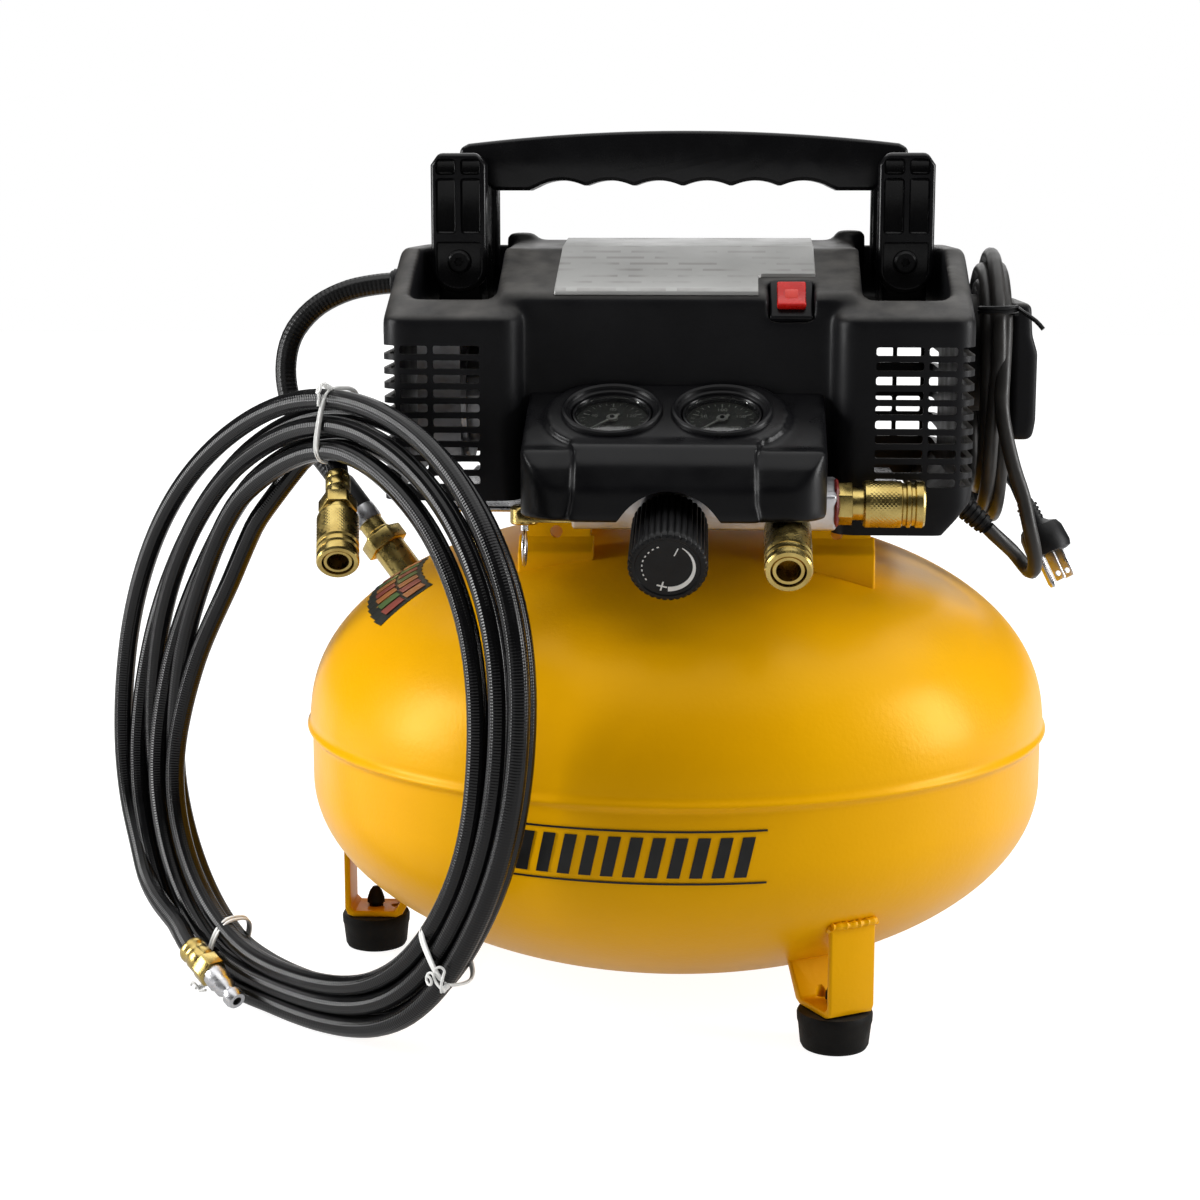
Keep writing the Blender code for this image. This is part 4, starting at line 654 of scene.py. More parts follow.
def coil_at(degrees, share, out):
    """Round the coil: share 0 is the outermost strand, 1 the innermost; the bottom rests flat on the floor."""
    turn = math.radians(degrees)
    outer = coil_reach(COIL_OUTER, degrees)
    if math.sin(turn) < -0.5:
        outer = min(outer, (COIL_MIDDLE[1] - COIL_REST) / -math.sin(turn))
    reach = outer + (coil_reach(COIL_INNER, degrees) - outer) * share
    return coil_point(COIL_MIDDLE[0] + reach * math.cos(turn), COIL_MIDDLE[1] + reach * math.sin(turn), out)


def ease(value):
    """Smooth step from 0 to 1."""
    value = min(1.0, max(0.0, value))
    return value * value * (3.0 - 2.0 * value)


def hose_points():
    """Laps from the plug's end inwards; each moves in by one strand and changes row on the left side."""
    points = []
    for lap in range(FULL_LAPS + 1):
        last = HOSE_END_ANGLE if lap == FULL_LAPS else PLUG_ANGLE - 360.0
        angle = PLUG_ANGLE if lap else PLUG_ANGLE - 39.0
        while angle > last:
            share = 0.0
            if lap:
                start, wide, final = (lap - 1) / (FULL_LAPS - 1), lap / FULL_LAPS, lap / (FULL_LAPS - 1)
                share = start + (wide - start) * ease((PLUG_ANGLE - angle) / 36.0)
                share += (final - wide) * ease((126.0 - angle) / 34.0)
            rows = ease((232.0 - angle) / 100.0)
            after = -STRAND_ROW if lap % 2 else STRAND_ROW
            before = -after if lap else STRAND_ROW
            wave = 0.016 * math.sin(math.radians(2.0 * angle) + 2.1 * lap)
            points.append(coil_at(angle, share + wave, before + (after - before) * rows))
            angle -= 8.0
    return points


def make_hose():
    """The tied coil, from the plug at its front to the coupler that hangs from its top."""
    hang = Vector((0.127, -0.812, -0.57)).normalized()
    start = coil_point(-0.046, 0.299, 0.0)
    plug_rear, plug_ahead = coil_point(-0.1258, 0.0272, 0.024), coil_point(-0.0782, 0.0063, 0.024)
    inward = (plug_ahead - plug_rear).normalized()
    route = [plug_rear + inward * 0.004, plug_rear - inward * 0.006]
    route += [coil_point(*spot) for spot in ((-0.144, 0.0362, 0.0212), (-0.17, 0.044, 0.0165),
        (-0.1905, 0.0535, 0.0115), (-0.205, 0.07, 0.008))]
    route += hose_points()
    route += [coil_point(*spot) for spot in ((-0.096, 0.2975, -0.013), (-0.0861, 0.3045, -0.014),
        (-0.0705, 0.3083, -0.0115), (-0.058, 0.3062, -0.0055))]
    route += [start, start + hang * 0.014]
    path = smooth_route(route, 0.007)
    hose = piece("air_hose", tube(path, HOSE_RADIUS, 18), HOSE, replaces=("air_hose_coil",))
    turn = hang.to_track_quat("Z", "Y").to_euler()
    ferrule = turned([(0.005, 0.005), (0.0061, 0.0052), (0.0064, 0.006), (0.0064, 0.0092), (0.0061, 0.0097),
        (0.0061, 0.0106), (0.0064, 0.0111), (0.0064, 0.0152), (0.0061, 0.0157), (0.0061, 0.0166),
        (0.0064, 0.0171), (0.0064, 0.0232), (0.006, 0.0246), (0.005, 0.0248)], 48, True)
    fittings = coupler("hose_coupler", 0.024, start, turn, 0.07, "hose_sleeve", [place(ferrule, start, turn)],
        0.9)
    brass = [turned([(0, -0.002), (0.0072, -0.002), (0.0077, -0.0008), (0.0077, 0.0016), (0.0072, 0.0026),
        (0.0072, 0.0052), (0.0077, 0.006), (0.0077, 0.011), (0.007, 0.0126), (0, 0.0126)], 48),
        bevel(cylinder(0.009, 0.0122, 0.0215, 6), 0.0007, 2)]
    for source in brass:
        aim(source, plug_rear, inward)
    plug_brass = piece("hose_plug_nut", brass, BRASS)
    tip = turned([(0, 0.021), (0.0064, 0.021), (0.0066, 0.0285), (0.0058, 0.03), (0.0058, 0.0345),
        (0.004, 0.0372), (0.004, 0.0385), (0.0056, 0.0405), (0.0056, 0.044), (0.0048, 0.046), (0.0026, 0.046),
        (0.0026, 0.03), (0, 0.03)], 40)
    plug = piece("hose_plug_tip", aim(tip, plug_rear, inward), STEEL, replaces=("hose_plug",))


def knurl(radius, low, high, rows, depth):
    """Diamond knurl between two heights: the ripple of a turned sleeve."""
    def ripple(angle, r, height):
        if r < radius - 1e-5 or not low < height < high:
            return 0.0
        lead = (height - low) / 0.0022
        first = abs(((angle * rows / (2 * math.pi) + lead) % 1.0) - 0.5)
        second = abs(((angle * rows / (2 * math.pi) - lead) % 1.0) - 0.5)
        return -2.0 * depth * max(0.0, 0.5 - min(first, second) * 2.0)
    return ripple


def coupler(prefix, start, origin, rotation, length, body, extra=(), girth=1.0):
    """Quick coupler along its own Z: hexagon, stem with socket, and a knurled sleeve with smooth rings."""
    hexagon = bevel(cylinder(0.0112, start, start + 0.008, 6), 0.0008, 2)
    stem = turned([(0, start + 0.006), (0.0084, start + 0.006), (0.0084, length - 0.0016),
        (0.0078, length - 0.0008), (0.0062, length - 0.0008), (0.0062, length - 0.006),
        (0.0056, length - 0.008), (0.0056, length - 0.022), (0, length - 0.022)], 48)
    for source in (hexagon, stem):
        place(source, origin, rotation).scale = (girth, girth, 1.0)
    core = piece(f"{prefix}_core", [hexagon, stem, *extra], BRASS, replaces=(f"{prefix}_body",))
    low = start + 0.0134
    r = COUPLER_RADIUS
    knurl_low, knurl_high = low + 0.003, length - 0.0135
    profile = [(0.009, low), (r - 0.0008, low), (r, low + 0.001), (r, knurl_low)]
    count = 40
    for i in range(1, count):
        profile.append((r, knurl_low + (knurl_high - knurl_low) * i / count))
    profile.append((r, knurl_high))
    for groove in (length - 0.012, length - 0.0074):
        profile += [(r, groove), (r - 0.001, groove + 0.0008), (r - 0.001, groove + 0.0022),
            (r, groove + 0.003)]
    profile += [(r, length - 0.001), (r - 0.0008, length), (0.009, length), (0.0088, length - 0.001)]
    sleeve = turned(profile, 216, True, knurl(r, knurl_low, knurl_high, 36, 0.00022))
    place(sleeve, origin, rotation).scale = (girth, girth, 1.0)
    ring = piece(f"{prefix}_knurl", sleeve, BRASS, body=body, replaces=(f"{prefix}_sleeve",))
    return [core, ring]


def make_tie(name, degrees, slant, curls):
    """White wire tie: two wraps round the bundle, twisted together and curled at the outer edge, in front."""
    middle = coil_at(degrees, 0.5, 0.0)
    outer, inner = coil_at(degrees, 0.0, 0.0), coil_at(degrees, 1.0, 0.0)
    side = (outer - inner).normalized()
    normal = (coil_point(0, 0, 1.0) - coil_point(0, 0, 0.0)).normalized()
    along = side.cross(normal)
    reach = 0.5 * (outer - inner).length + 0.0062
    loop = []
    for i in range(121):
        turn = 4.0 * math.pi * i / 120 + 0.5
        c, s = math.cos(turn), math.sin(turn)
        shape = (abs(c) ** 3.2 + abs(s) ** 3.2) ** (-1.0 / 3.2)
        loop.append(middle + side * (c * shape * reach) + normal * (s * shape * 0.0122) + along
            * (0.0011 * math.sin(0.5 * turn) + slant * c * 0.006))
    base = middle + side * (reach - 0.0008) + normal * 0.0075 + along * (slant * 0.006)
    sources = [tube(loop, 0.0008, 8, flat=1.5)]
    lean = (normal * 0.75 + side * 0.35).normalized()
    across = lean.cross(along).normalized()
    for number, (tilt, length, radius, sweep) in enumerate(curls):
        spin = math.pi * number
        strand = []
        for i in range(16):
            angle = spin + 4.0 * math.pi * i / 15
            strand.append(base + lean * (0.006 * i / 15) + (along * math.cos(angle) + across
                * math.sin(angle)) * 0.0009)
        heading = (along * math.cos(math.radians(tilt)) + side * math.sin(math.radians(tilt))).normalized()
        bend = lean.cross(heading).normalized()
        for i in range(1, 7):
            strand.append(strand[15] + heading * (length * i / 6) + lean * (0.0015 * math.sin(0.5 * i)))
        corner = strand[-1] + bend * radius
        for i in range(1, int(sweep / 20.0)):
            turn = math.radians(20.0 * i)
            strand.append(corner - bend * (radius * math.cos(turn)) + heading * (radius * math.sin(turn)) + lean
                * (0.00018 * i))
        sources.append(tube(strand, 0.0007, 8))
    piece(name, sources, TIE)


def make_ties():
    make_tie("hose_tie_top", 88.5, 0.55, ((200.0, 0.002, 0.0026, 330.0), (255.0, 0.008, 0.006, 60.0)))
    make_tie("hose_tie_left", 243.0, -0.45, ((190.0, 0.0008, 0.0024, 300.0), (215.0, 0.006, 0.0022, 60.0)))
    make_tie("hose_tie_right", 316.0, 0.35, ((215.0, 0.011, 0.0022, 200.0), (275.0, 0.01, 0.0026, 420.0)))


def make_discharge():
    path = smooth_route(DISCHARGE_ROUTE, 0.005)
    piece("discharge_line", tube(path, DISCHARGE_RADIUS, 24), DISCHARGE, replaces=("discharge_hose",))
    rings = [(0.0066, 0.0), (0.0104, 0.0), (0.0106, 0.003), (0.0098, 0.0044), (0.009, 0.0048)]
    rings += ribs(4, 0.0056, 0.0093, 0.0004, 0.0019, 0.0009) + [(0.0066, 0.0198)]
    collar = place(turned(rings, 48, True), (HEAD_X - COVER_HALF_WIDTH - 0.0003, 0.06, 0.388),
        (0.0, -QUARTER_TURN, 0.0))
    piece("hose_wall_grommet", collar, DARK, replaces=("hose_grommet",))
    end = Vector(DISCHARGE_ROUTE[-1])
    inward = (end - Vector(DISCHARGE_ROUTE[-2])).normalized()
    crimp = turned([(0.006, -0.022), (0.0074, -0.022), (0.0078, -0.0205), (0.0078, -0.002), (0.006, -0.002)],
        40, True)
    piece("hose_crimp", aim(crimp, end, inward), DARK, "black_rubber")
    band = turned([(0.006, -0.0018), (0.008, -0.0018), (0.0082, 0.0002), (0.0082, 0.0062), (0.0078, 0.008),
        (0.006, 0.008)], 40, True)
    piece("hose_crimp_band", aim(band, end, inward), STEEL)
    nut = [turned([(0, 0.006), (0.0072, 0.006), (0.0072, 0.015), (0.008, 0.0158), (0.008, 0.0184), (0, 0.0184)],
        40), bevel(cylinder(0.0135, 0.018, 0.027, 6), 0.0009, 2), turned([(0, 0.026), (0.0096, 0.026),
        (0.0096, 0.046), (0, 0.046)], 40)]
    piece("check_valve_nut", [aim(n, end, inward) for n in nut], BRASS, replaces=("check_valve",))


# ---------------------------------------------------------------- tank, decoration, feet, brackets
def dome_z(radius):
    share = min(1.0, (radius / TANK_RADIUS)) ** DOME_POWER
    return SEAM_Z + DOME_STRAIGHT + DOME_HEIGHT * (1.0 - share) ** (1.0 / DOME_POWER)


def belly_radius(z):
    low = SEAM_Z - BELLY_STRAIGHT
    if z >= low:
        return TANK_RADIUS
    return TANK_RADIUS * math.sqrt(max(0.0, 1.0 - ((low - z) / BELLY_HEIGHT) ** 2))


def dome_points(count, inset=0.0):
    """The dome from its top to the seam, as (radius, height)."""
    points = []
    for i in range(count + 1):
        t = QUARTER_TURN * i / count
        height = (DOME_HEIGHT - inset) * max(0.0, math.cos(t)) ** (2.0 / DOME_POWER)
        points.append(((TANK_RADIUS - inset) * math.sin(t) ** (2.0 / DOME_POWER),
            SEAM_Z + DOME_STRAIGHT + height))
    return points


def belly_points(count, inset=0.0):
    """The belly from its side to the bottom, as (radius, height)."""
    points = []
    for i in range(count + 1):
        t = QUARTER_TURN * (1.0 - i / count)
        drop = (BELLY_HEIGHT - inset) * max(0.0, math.cos(t))
        points.append(((TANK_RADIUS - inset) * math.sin(t), SEAM_Z - BELLY_STRAIGHT - drop))
    return points


def make_tank():
    """Dome, seam ridge and belly in one turned skin."""
    profile = [spot for spot in dome_points(56) if spot[1] > SEAM_Z + 0.0078]
    for i in range(25):
        dz = 0.0072 - 0.0144 * i / 24
        ridge = SEAM_RIDGE * math.exp(-(dz / 0.0024) ** 2)
        step = 0.0007 if dz > 0 else -0.0004
        profile.append((TANK_RADIUS - 0.0006 + ridge + step * (1.0 - math.exp(-(dz / 0.003) ** 2)),
            SEAM_Z + dz))
    for i, (radius, height) in enumerate(belly_points(48)):
        profile.append((max(0.0, radius - (0.001 if i < 46 else 0.0)), height))
    piece("tank_shell", turned(profile, 220), PAINT, replaces=("tank_upper", "tank_lower"), crease=60.0)


def belly_patch(corners, columns):
    """A thin print on the tank's side; corners are (degrees, height), in order."""
    (a0, z0), (a1, z1), (a2, z2), (a3, z3) = corners

    def spot(u, v, height):
        angle = math.radians((a0 * (1 - u) + a1 * u) * (1 - v) + (a3 * (1 - u) + a2 * u) * v)
        z = (z0 * (1 - u) + z1 * u) * (1 - v) + (z3 * (1 - u) + z2 * u) * v
        reach = belly_radius(z) - 0.001 + height
        return reach * math.sin(angle), -reach * math.cos(angle), z

    bm = bmesh.new()
    loops = []
    for height in (0.0003, 0.0006):
        rows = [[bm.verts.new(spot(i / columns, 0.5 * j, height)) for i in range(columns + 1)]
            for j in range(3)]
        for near, far in zip(rows, rows[1:]):
            for i in range(columns):
                bm.faces.new((near[i], near[i + 1], far[i + 1], far[i]))
        loops.append(rows[0] + [rows[1][-1]] + rows[2][::-1] + [rows[1][0]])
    wall(bm, *loops)
    return add_object("patch", bm)


def make_decoration():
    """Two thin lines with slanted bars between them, printed on the tank's side."""
    shapes = []
    left, right, top, low = -22.6, 14.2, 0.13, 0.103
    for z in (top, low):
        shapes.append(belly_patch([(left, z - 0.0005), (right, z - 0.0005), (right, z + 0.0005),
            (left, z + 0.0005)], 40))
    count = 11
    for index in range(count):
        start = left + 1.6 + (right - left - 4.4) * index / (count - 0.4)
        shapes.append(belly_patch([(start, low + 0.0032), (start + 1.75, low + 0.0032),
            (start + 3.0, top - 0.0032), (start + 1.25, top - 0.0032)], 3))
    piece("tank_stripes", shapes, INK)


def dome_patch(first, last, near, far, lift):
    """A print on the tank's dome, between two angles and two distances from the axis."""
    middle, halfway = 0.5 * (first + last), 0.5 * (near + far)
    bm = bmesh.new()
    loops = []
    for height in (lift, lift + 0.0003):
        ring = []
        for angle, r in ((first, near), (middle, near), (last, near), (last, halfway), (last, far),
                (middle, far), (first, far), (first, halfway)):
            turn = math.radians(angle)
            slope = (dome_z(r - 0.001) - dome_z(r + 0.001)) / 0.002
            out = Vector((math.sin(turn) * slope, -math.cos(turn) * slope, 1.0)).normalized()
            ring.append(bm.verts.new(Vector((r * math.sin(turn), -r * math.cos(turn),
                dome_z(r))) + out * height))
        bm.faces.new(ring)
        loops.append(ring)
    wall(bm, *loops)
    return add_object("patch", bm)


def make_colour_blocks():
    """Generic label of small muted blocks on the left shoulder, below the check valve."""
    low, high, width, columns, pitch = -91.0, -61.0, 0.0305, 7, 4.0

    def inner(angle):
        return 0.1425 + 0.008 * (angle - low) / (high - low)

    edges = [low + (high - low) * i / 8 for i in range(9)]
    dark = [dome_patch(a, b, inner(a), inner(a) + width, 0.0002) for a, b in zip(edges, edges[1:])]
    piece("label_dark", dark, block_finish("label_dark", (0.018, 0.02, 0.014)))
    names = ("label_orange", "label_green", "label_red", "label_green", "label_orange", "label_red")
    for name, color in (("label_orange", (0.42, 0.15, 0.04)), ("label_green", (0.09, 0.15, 0.04)),
            ("label_red", (0.28, 0.06, 0.04))):
        shapes = []
        for column in range(columns):
            start = low + 1.3 + pitch * column
            for row in range(2):
                if names[(column + 2 * row) % 6] == name:
                    near = inner(start) + 0.0026 + 0.0122 * row
                    shapes.append(dome_patch(start, start + 3.1, near, near + 0.0106, 0.0006))
        piece(name, shapes, block_finish(name, color))


def tank_form(inset):
    """The tank's outside as a cutter for what is welded to it."""
    return turned(dome_points(28, inset) + belly_points(28, inset), 96)


def weld(points, radius, seed):
    """A lumpy bead along the points."""
    path = smooth_route(points, 0.0016)
    radii = [radius * (1.0 + 0.22 * math.sin(2.4 * i + seed) + 0.1 * math.sin(5.1 * i))
        for i in range(len(path))]
    return tube(path, radius, 8, radii=radii)


def make_feet():
    """Three welded straps, each on a rubber foot."""
    outer, inner, top = 0.193, 0.16, 0.086
    low, t = FOOT_HEIGHT + 0.0003, STRAP_THICK
    strap = [(outer, top), (outer, low + 0.005), (outer - 0.0015, low + 0.0015), (outer - 0.005, low),
        (inner + 0.003, low), (inner - 0.001, low + 0.002), (inner - 0.019, low + 0.036),
        (inner - 0.019 + 1.15 * t, low + 0.036), (inner + 0.0035, low + t), (outer - 0.006, low + t),
        (outer - t, low + 0.006), (outer - t, top)]
    half = 0.5 * STRAP_WIDTH
    for index, angle in enumerate(FOOT_ANGLES, start=1):
        turn = math.radians(angle)
        direction = Vector((math.sin(turn), -math.cos(turn), 0.0))
        bracket = prism([(-r, z) for r, z in strap], "X", -half, half)
        bevel(bracket, 0.0011, 3, 50.0)
        for radius, reach in ((0.0044, FOOT_RADIUS), (0.0034, FOOT_RADIUS - 0.0125)):
            boolean(bracket, place(cylinder(radius, low - 0.002, low + 0.008, 28), (0.0, -reach, 0.0)))
        boolean(bracket, tank_form(0.0005))
        bead_z = SEAM_Z - BELLY_STRAIGHT - BELLY_HEIGHT * math.sqrt(1.0 - (outer / TANK_RADIUS) ** 2)
        beads = [weld([(-half, -outer - 0.0004, bead_z), (0.0, -outer - 0.001, bead_z - 0.0002),
            (half, -outer - 0.0004, bead_z)], 0.0019, index)]
        for hand in (-1.0, 1.0):
            beads.append(weld([(hand * half, -outer, bead_z - 0.001),
                (hand * half, -outer + 0.003, bead_z - 0.0035)], 0.0016, index + hand))
        source = [settle(bracket)] + [settle(b) for b in beads]
        for s in source:
            s.rotation_euler = (0.0, 0.0, turn)
        piece(f"foot_strap_{index}", source, PAINT, replaces=(f"foot_bracket_{index}",))
        profile = [(0, 0.0014), (0.008, 0.001), (0.009, 0.0002), (0.0152, 0.0), (0.017, 0.0007),
            (0.018, 0.0026), (0.0192, 0.0135), (0.0197, 0.015), (0.0199, 0.0188), (0.0192, FOOT_HEIGHT),
            (0.004, FOOT_HEIGHT), (0.0038, 0.025), (0.0052, 0.0262), (0.005, 0.029), (0.0036, 0.033),
            (0.0018, 0.0355), (0, 0.0357)]
        foot = turned(profile, 64)
        foot.location = direction * FOOT_RADIUS
        piece(f"foot_pad_{index}", foot, RUBBER, replaces=(f"rubber_foot_{index}",))


def make_brackets():
    """Two hat-shaped straps under the pump, welded to the dome."""
    top, leg, t = 0.2725, 0.085, 0.003
    hat = [(-leg, 0.236), (-leg, top - 0.003), (-leg + 0.003, top), (leg - 0.003, top), (leg, top - 0.003),
        (leg, 0.236), (leg - t, 0.236), (leg - t, top - t), (t - leg, top - t), (t - leg, 0.236)]
    for name, left, right in (("left", -0.08, -0.044), ("right", 0.07, 0.106)):
        strap = bevel(prism(hat, "X", left, right), 0.001, 2, 50.0)
        lip_x = right if name == "left" else left
        lip = bevel(box((lip_x - 0.003, -leg, 0.236), (lip_x + 0.0004, -leg + 0.014, top - 0.0005)), 0.0008, 2)
        boolean(strap, lip, "UNION")
        for side in (-1.0, 1.0):
            flare = [(side * (leg + 0.0085), 0.23), (side * (leg + 0.0085), dome_z(leg + 0.0085) + 0.0022),
                (side * (leg + 0.0025), dome_z(leg) + 0.0042), (side * (leg - 0.0005), dome_z(leg) + 0.0085),
                (side * (leg - t), dome_z(leg) + 0.0085), (side * (leg - t), 0.23)]
            foot = bevel(prism(flare, "X", left - 0.0022, right + 0.0022), 0.0014, 3, 20.0)
            boolean(strap, foot, "UNION")
        hole = place(cylinder(0.0033, -0.1, 0.1, 28), (0.5 * (left + right), 0.0, 0.2612), ALONG_Y)
        boolean(strap, hole)
        boolean(strap, tank_form(0.0004))
        piece(f"pump_strap_{name}", strap, PAINT, replaces=(f"pump_bracket_{name}",))


# ---------------------------------------------------------------- pump cover
def rounded_plan(low, high, radius, steps=6):
    """Outline of a rectangle with round corners."""
    points = []
    corners = ((high[0] - radius, high[1] - radius, 0.0), (low[0] + radius, high[1] - radius, 90.0),
        (low[0] + radius, low[1] + radius, 180.0), (high[0] - radius, low[1] + radius, 270.0))
    for x, y, first in corners:
        for i in range(steps + 1):
            turn = math.radians(first + 90.0 * i / steps)
            points.append((x + radius * math.cos(turn), y + radius * math.sin(turn)))
    return points


def loft(levels):
    """A solid through outlines at rising heights."""
    bm = bmesh.new()
    rings = [[bm.verts.new((x, y, z)) for x, y in points] for z, points in levels]
    for first, second in zip(rings, rings[1:]):
        wall(bm, first, second)
    bm.faces.new(list(reversed(rings[0])))
    bm.faces.new(rings[-1])
    return add_object("loft", bm)


def cover_form(inset, bottom):
    """The cover as a solid: a low centre between two deeper side blocks."""
    depth, edge, crown = CENTRE_DEPTH - inset, CENTRE_EDGE_Z - 0.6 * inset, CENTRE_TOP_Z - inset
    outline = [(-depth, bottom), (-depth, edge - 0.004), (-depth + 0.004, edge), (-0.04, crown - 0.004),
        (0.0, crown), (0.04, crown - 0.004), (depth - 0.004, edge), (depth, edge - 0.004), (depth, bottom)]
    reach = RECESS_HALF_WIDTH + 0.012
    centre = prism(outline, "X", HEAD_X - reach, HEAD_X + reach)
    depth, edge, crown = BLOCK_DEPTH - inset, BLOCK_EDGE_Z - 0.6 * inset, BLOCK_TOP_Z - inset
    shoulder, radius = 0.044 + 0.0085 - inset, 0.0125 - inset
    for low, high in ((-COVER_HALF_WIDTH, -RECESS_HALF_WIDTH), (RECESS_HALF_WIDTH, COVER_HALF_WIDTH)):
        low, high = HEAD_X + low + inset, HEAD_X + high - inset
        levels = []
        for z, reach in ((bottom - 0.005, depth), (edge, depth), (crown - 0.003, shoulder)):
            levels.append((z, rounded_plan((low, -reach), (high, reach), radius)))
        levels.append((crown, rounded_plan((low + 0.003, -shoulder + 0.005), (high - 0.003, shoulder - 0.005),
            radius - 0.003)))
        boolean(centre, loft(levels), "UNION")
    return settle(centre)


def cover_notches(grow):
    """What is cut from the cover: pockets for the handle, the switch seat and the slanted right corner."""
    pieces = []
    for side in (-1.0, 1.0):
        middle = HEAD_X + side * (TOWER_OFFSET - 0.003)
        pieces.append(bevel(box((middle - 0.0225 - grow, -0.099 - grow, 0.38 - grow),
            (middle + 0.0225 + grow, 0.045 + grow, 0.44)), 0.007, 4))
    switch = bevel(box((-0.0116 - grow, -0.0134 - grow, -0.0065 - grow), (0.0116 + grow, 0.0134 + grow, 0.03)),
        0.0015, 2)
    pieces.append(place(switch, SWITCH_CENTRE, (SWITCH_TILT, 0.0, 0.0)))
    chin = [(HEAD_X + 0.125, 0.2509), (HEAD_X + 0.165, 0.2966), (0.23, 0.2966), (0.23, 0.2509)]
    pieces.append(prism([(x - grow * 0.76, z + grow * 0.65) for x, z in chin], "Y", -0.14, 0.14))
    return join(pieces)


def slot_cutters():
    """Cooling slots: ten fine rows in front, five wide ones at the rear, in three columns a side."""
    pieces = []
    for side, count, pitch, height in ((-1.0, 10, 0.0075, 0.0044), (1.0, 5, 0.015, 0.0095)):
        for index in range(count):
            high = SLOT_TOP_Z - index * pitch
            low = high - height
            for hand in (-1.0, 1.0):
                for start, end in ((0.102, 0.1265), (0.129, 0.1435), (0.146, 0.17)):
                    xs = sorted((HEAD_X + hand * start, HEAD_X + hand * end))
                    ys = sorted((side * 0.07, side * 0.135))
                    pieces.append(bevel(box((xs[0], ys[0], low), (xs[1], ys[1], high)), 0.0012, 2))
    return join(pieces)


def make_cover():
    """Both halves of the cover as one hollow skin with a parting groove."""
    shell = cover_form(0.0, 0.245)
    boolean(shell, cover_notches(0.0))
    for x, z in ((-0.087, 0.4135), (0.096, 0.415)):
        bump = place(turned([(0, -0.02), (0.0085, -0.02), (0.0085, 0.0032), (0.007, 0.0046), (0, 0.005)], 32),
            (x, 0.0, z))
        boolean(shell, bump, "UNION")
    settle(shell)
    soften(shell, 0.0018, 13)
    settle(shell)
    hollow = cover_form(COVER_WALL + 0.0004, 0.23)
    boolean(hollow, cover_notches(COVER_WALL))
    settle(hollow)
    boolean(shell, hollow)
    left, right = HEAD_X - RECESS_HALF_WIDTH, HEAD_X + RECESS_HALF_WIDTH
    steps = [(-0.2, 0.1), (0.2, 0.1), (0.2, RIGHT_SKIRT_Z), (right, RIGHT_SKIRT_Z), (right, CENTRE_SKIRT_Z),
        (left, CENTRE_SKIRT_Z), (left, LEFT_SKIRT_Z), (-0.2, LEFT_SKIRT_Z)]
    boolean(shell, prism(steps, "Y", -0.2, 0.2))
    boolean(shell, slot_cutters())
    port = place(cylinder(0.0088, -0.05, 0.05), (0.0, -0.104, MANIFOLD.z - 0.0005), ALONG_Y)
    boolean(shell, port)
    port = place(cylinder(DISCHARGE_RADIUS + 0.001, -0.02, 0.02), (HEAD_X - COVER_HALF_WIDTH, 0.06, 0.388),
        ALONG_X)
    boolean(shell, port)
    settle(shell)
    outside = cover_form(-0.004, 0.22)
    inside = cover_form(0.0009, 0.21)
    groove = box((-0.3, -0.0005, 0.1), (0.3, 0.0005, 0.6))
    boolean(groove, outside, "INTERSECT")
    boolean(groove, inside)
    settle(groove)
    boolean(shell, groove)
    piece("pump_cover", shell, COVER, replaces=("cover_front", "cover_rear"), crease=40.0)


def make_label():
    """Silver plate on the cover's sloping top, notched round the switch."""
    line = [(-0.103, 0.389), (-0.098, 0.3912), (-0.04, 0.4106), (-0.015, 0.413), (-0.001, 0.4143)]
    outline = [(y, z + 0.0012) for y, z in line] + [(y, z - 0.0012) for y, z in line[::-1]]
    plate = bevel(prism(outline, "X", -0.0615, 0.0746), 0.0005, 1)
    notch = bevel(box((0.0445, -0.12, 0.37), (0.09, -0.08, 0.42)), 0.003, 3)
    boolean(plate, notch)
    piece("rating_plate", plate, LABEL)


def make_switch():
    """Rocker at its rest tilt, on its own body, in a bezel."""
    rest = math.radians(-6.0)
    profile = [(-0.0042, -0.0055), (0.0042, -0.0055), (0.0092, 0.003), (0.0092, 0.005), (0.004, 0.0042),
        (0.0, 0.004), (-0.004, 0.0044), (-0.0092, 0.0056), (-0.0092, 0.003)]
    pivot = SWITCH_CENTRE + Matrix.Rotation(SWITCH_TILT, 3, "X") @ Vector((0.0, 0.0, -0.0055))

    def seat(obj):
        obj.data.transform(Matrix.Rotation(rest, 4, "X"))
        return place(obj, pivot, (SWITCH_TILT, 0.0, 0.0))

    rocker = seat(bevel(prism([(y, z + 0.0055) for y, z in profile], "X", -0.0075, 0.0075), 0.001, 3))
    piece("rocker_cap", rocker, RED, body="rocker", replaces=("switch_rocker",))
    mark = seat(bevel(box((-0.0036, -0.0036, 0.0085), (0.0036, 0.0036, 0.0101)), 0.0008, 2))
    piece("rocker_mark", mark, PALE_RED, body="rocker")
    rim = bevel(box((-0.0112, -0.013, -0.006), (0.0112, 0.013, 0.0016)), 0.0014, 3)
    boolean(rim, bevel(box((-0.0083, -0.0104, -0.02), (0.0083, 0.0104, 0.02)), 0.001, 2))
    piece("switch_bezel", place(rim, SWITCH_CENTRE, (SWITCH_TILT, 0.0, 0.0)), HOOD)


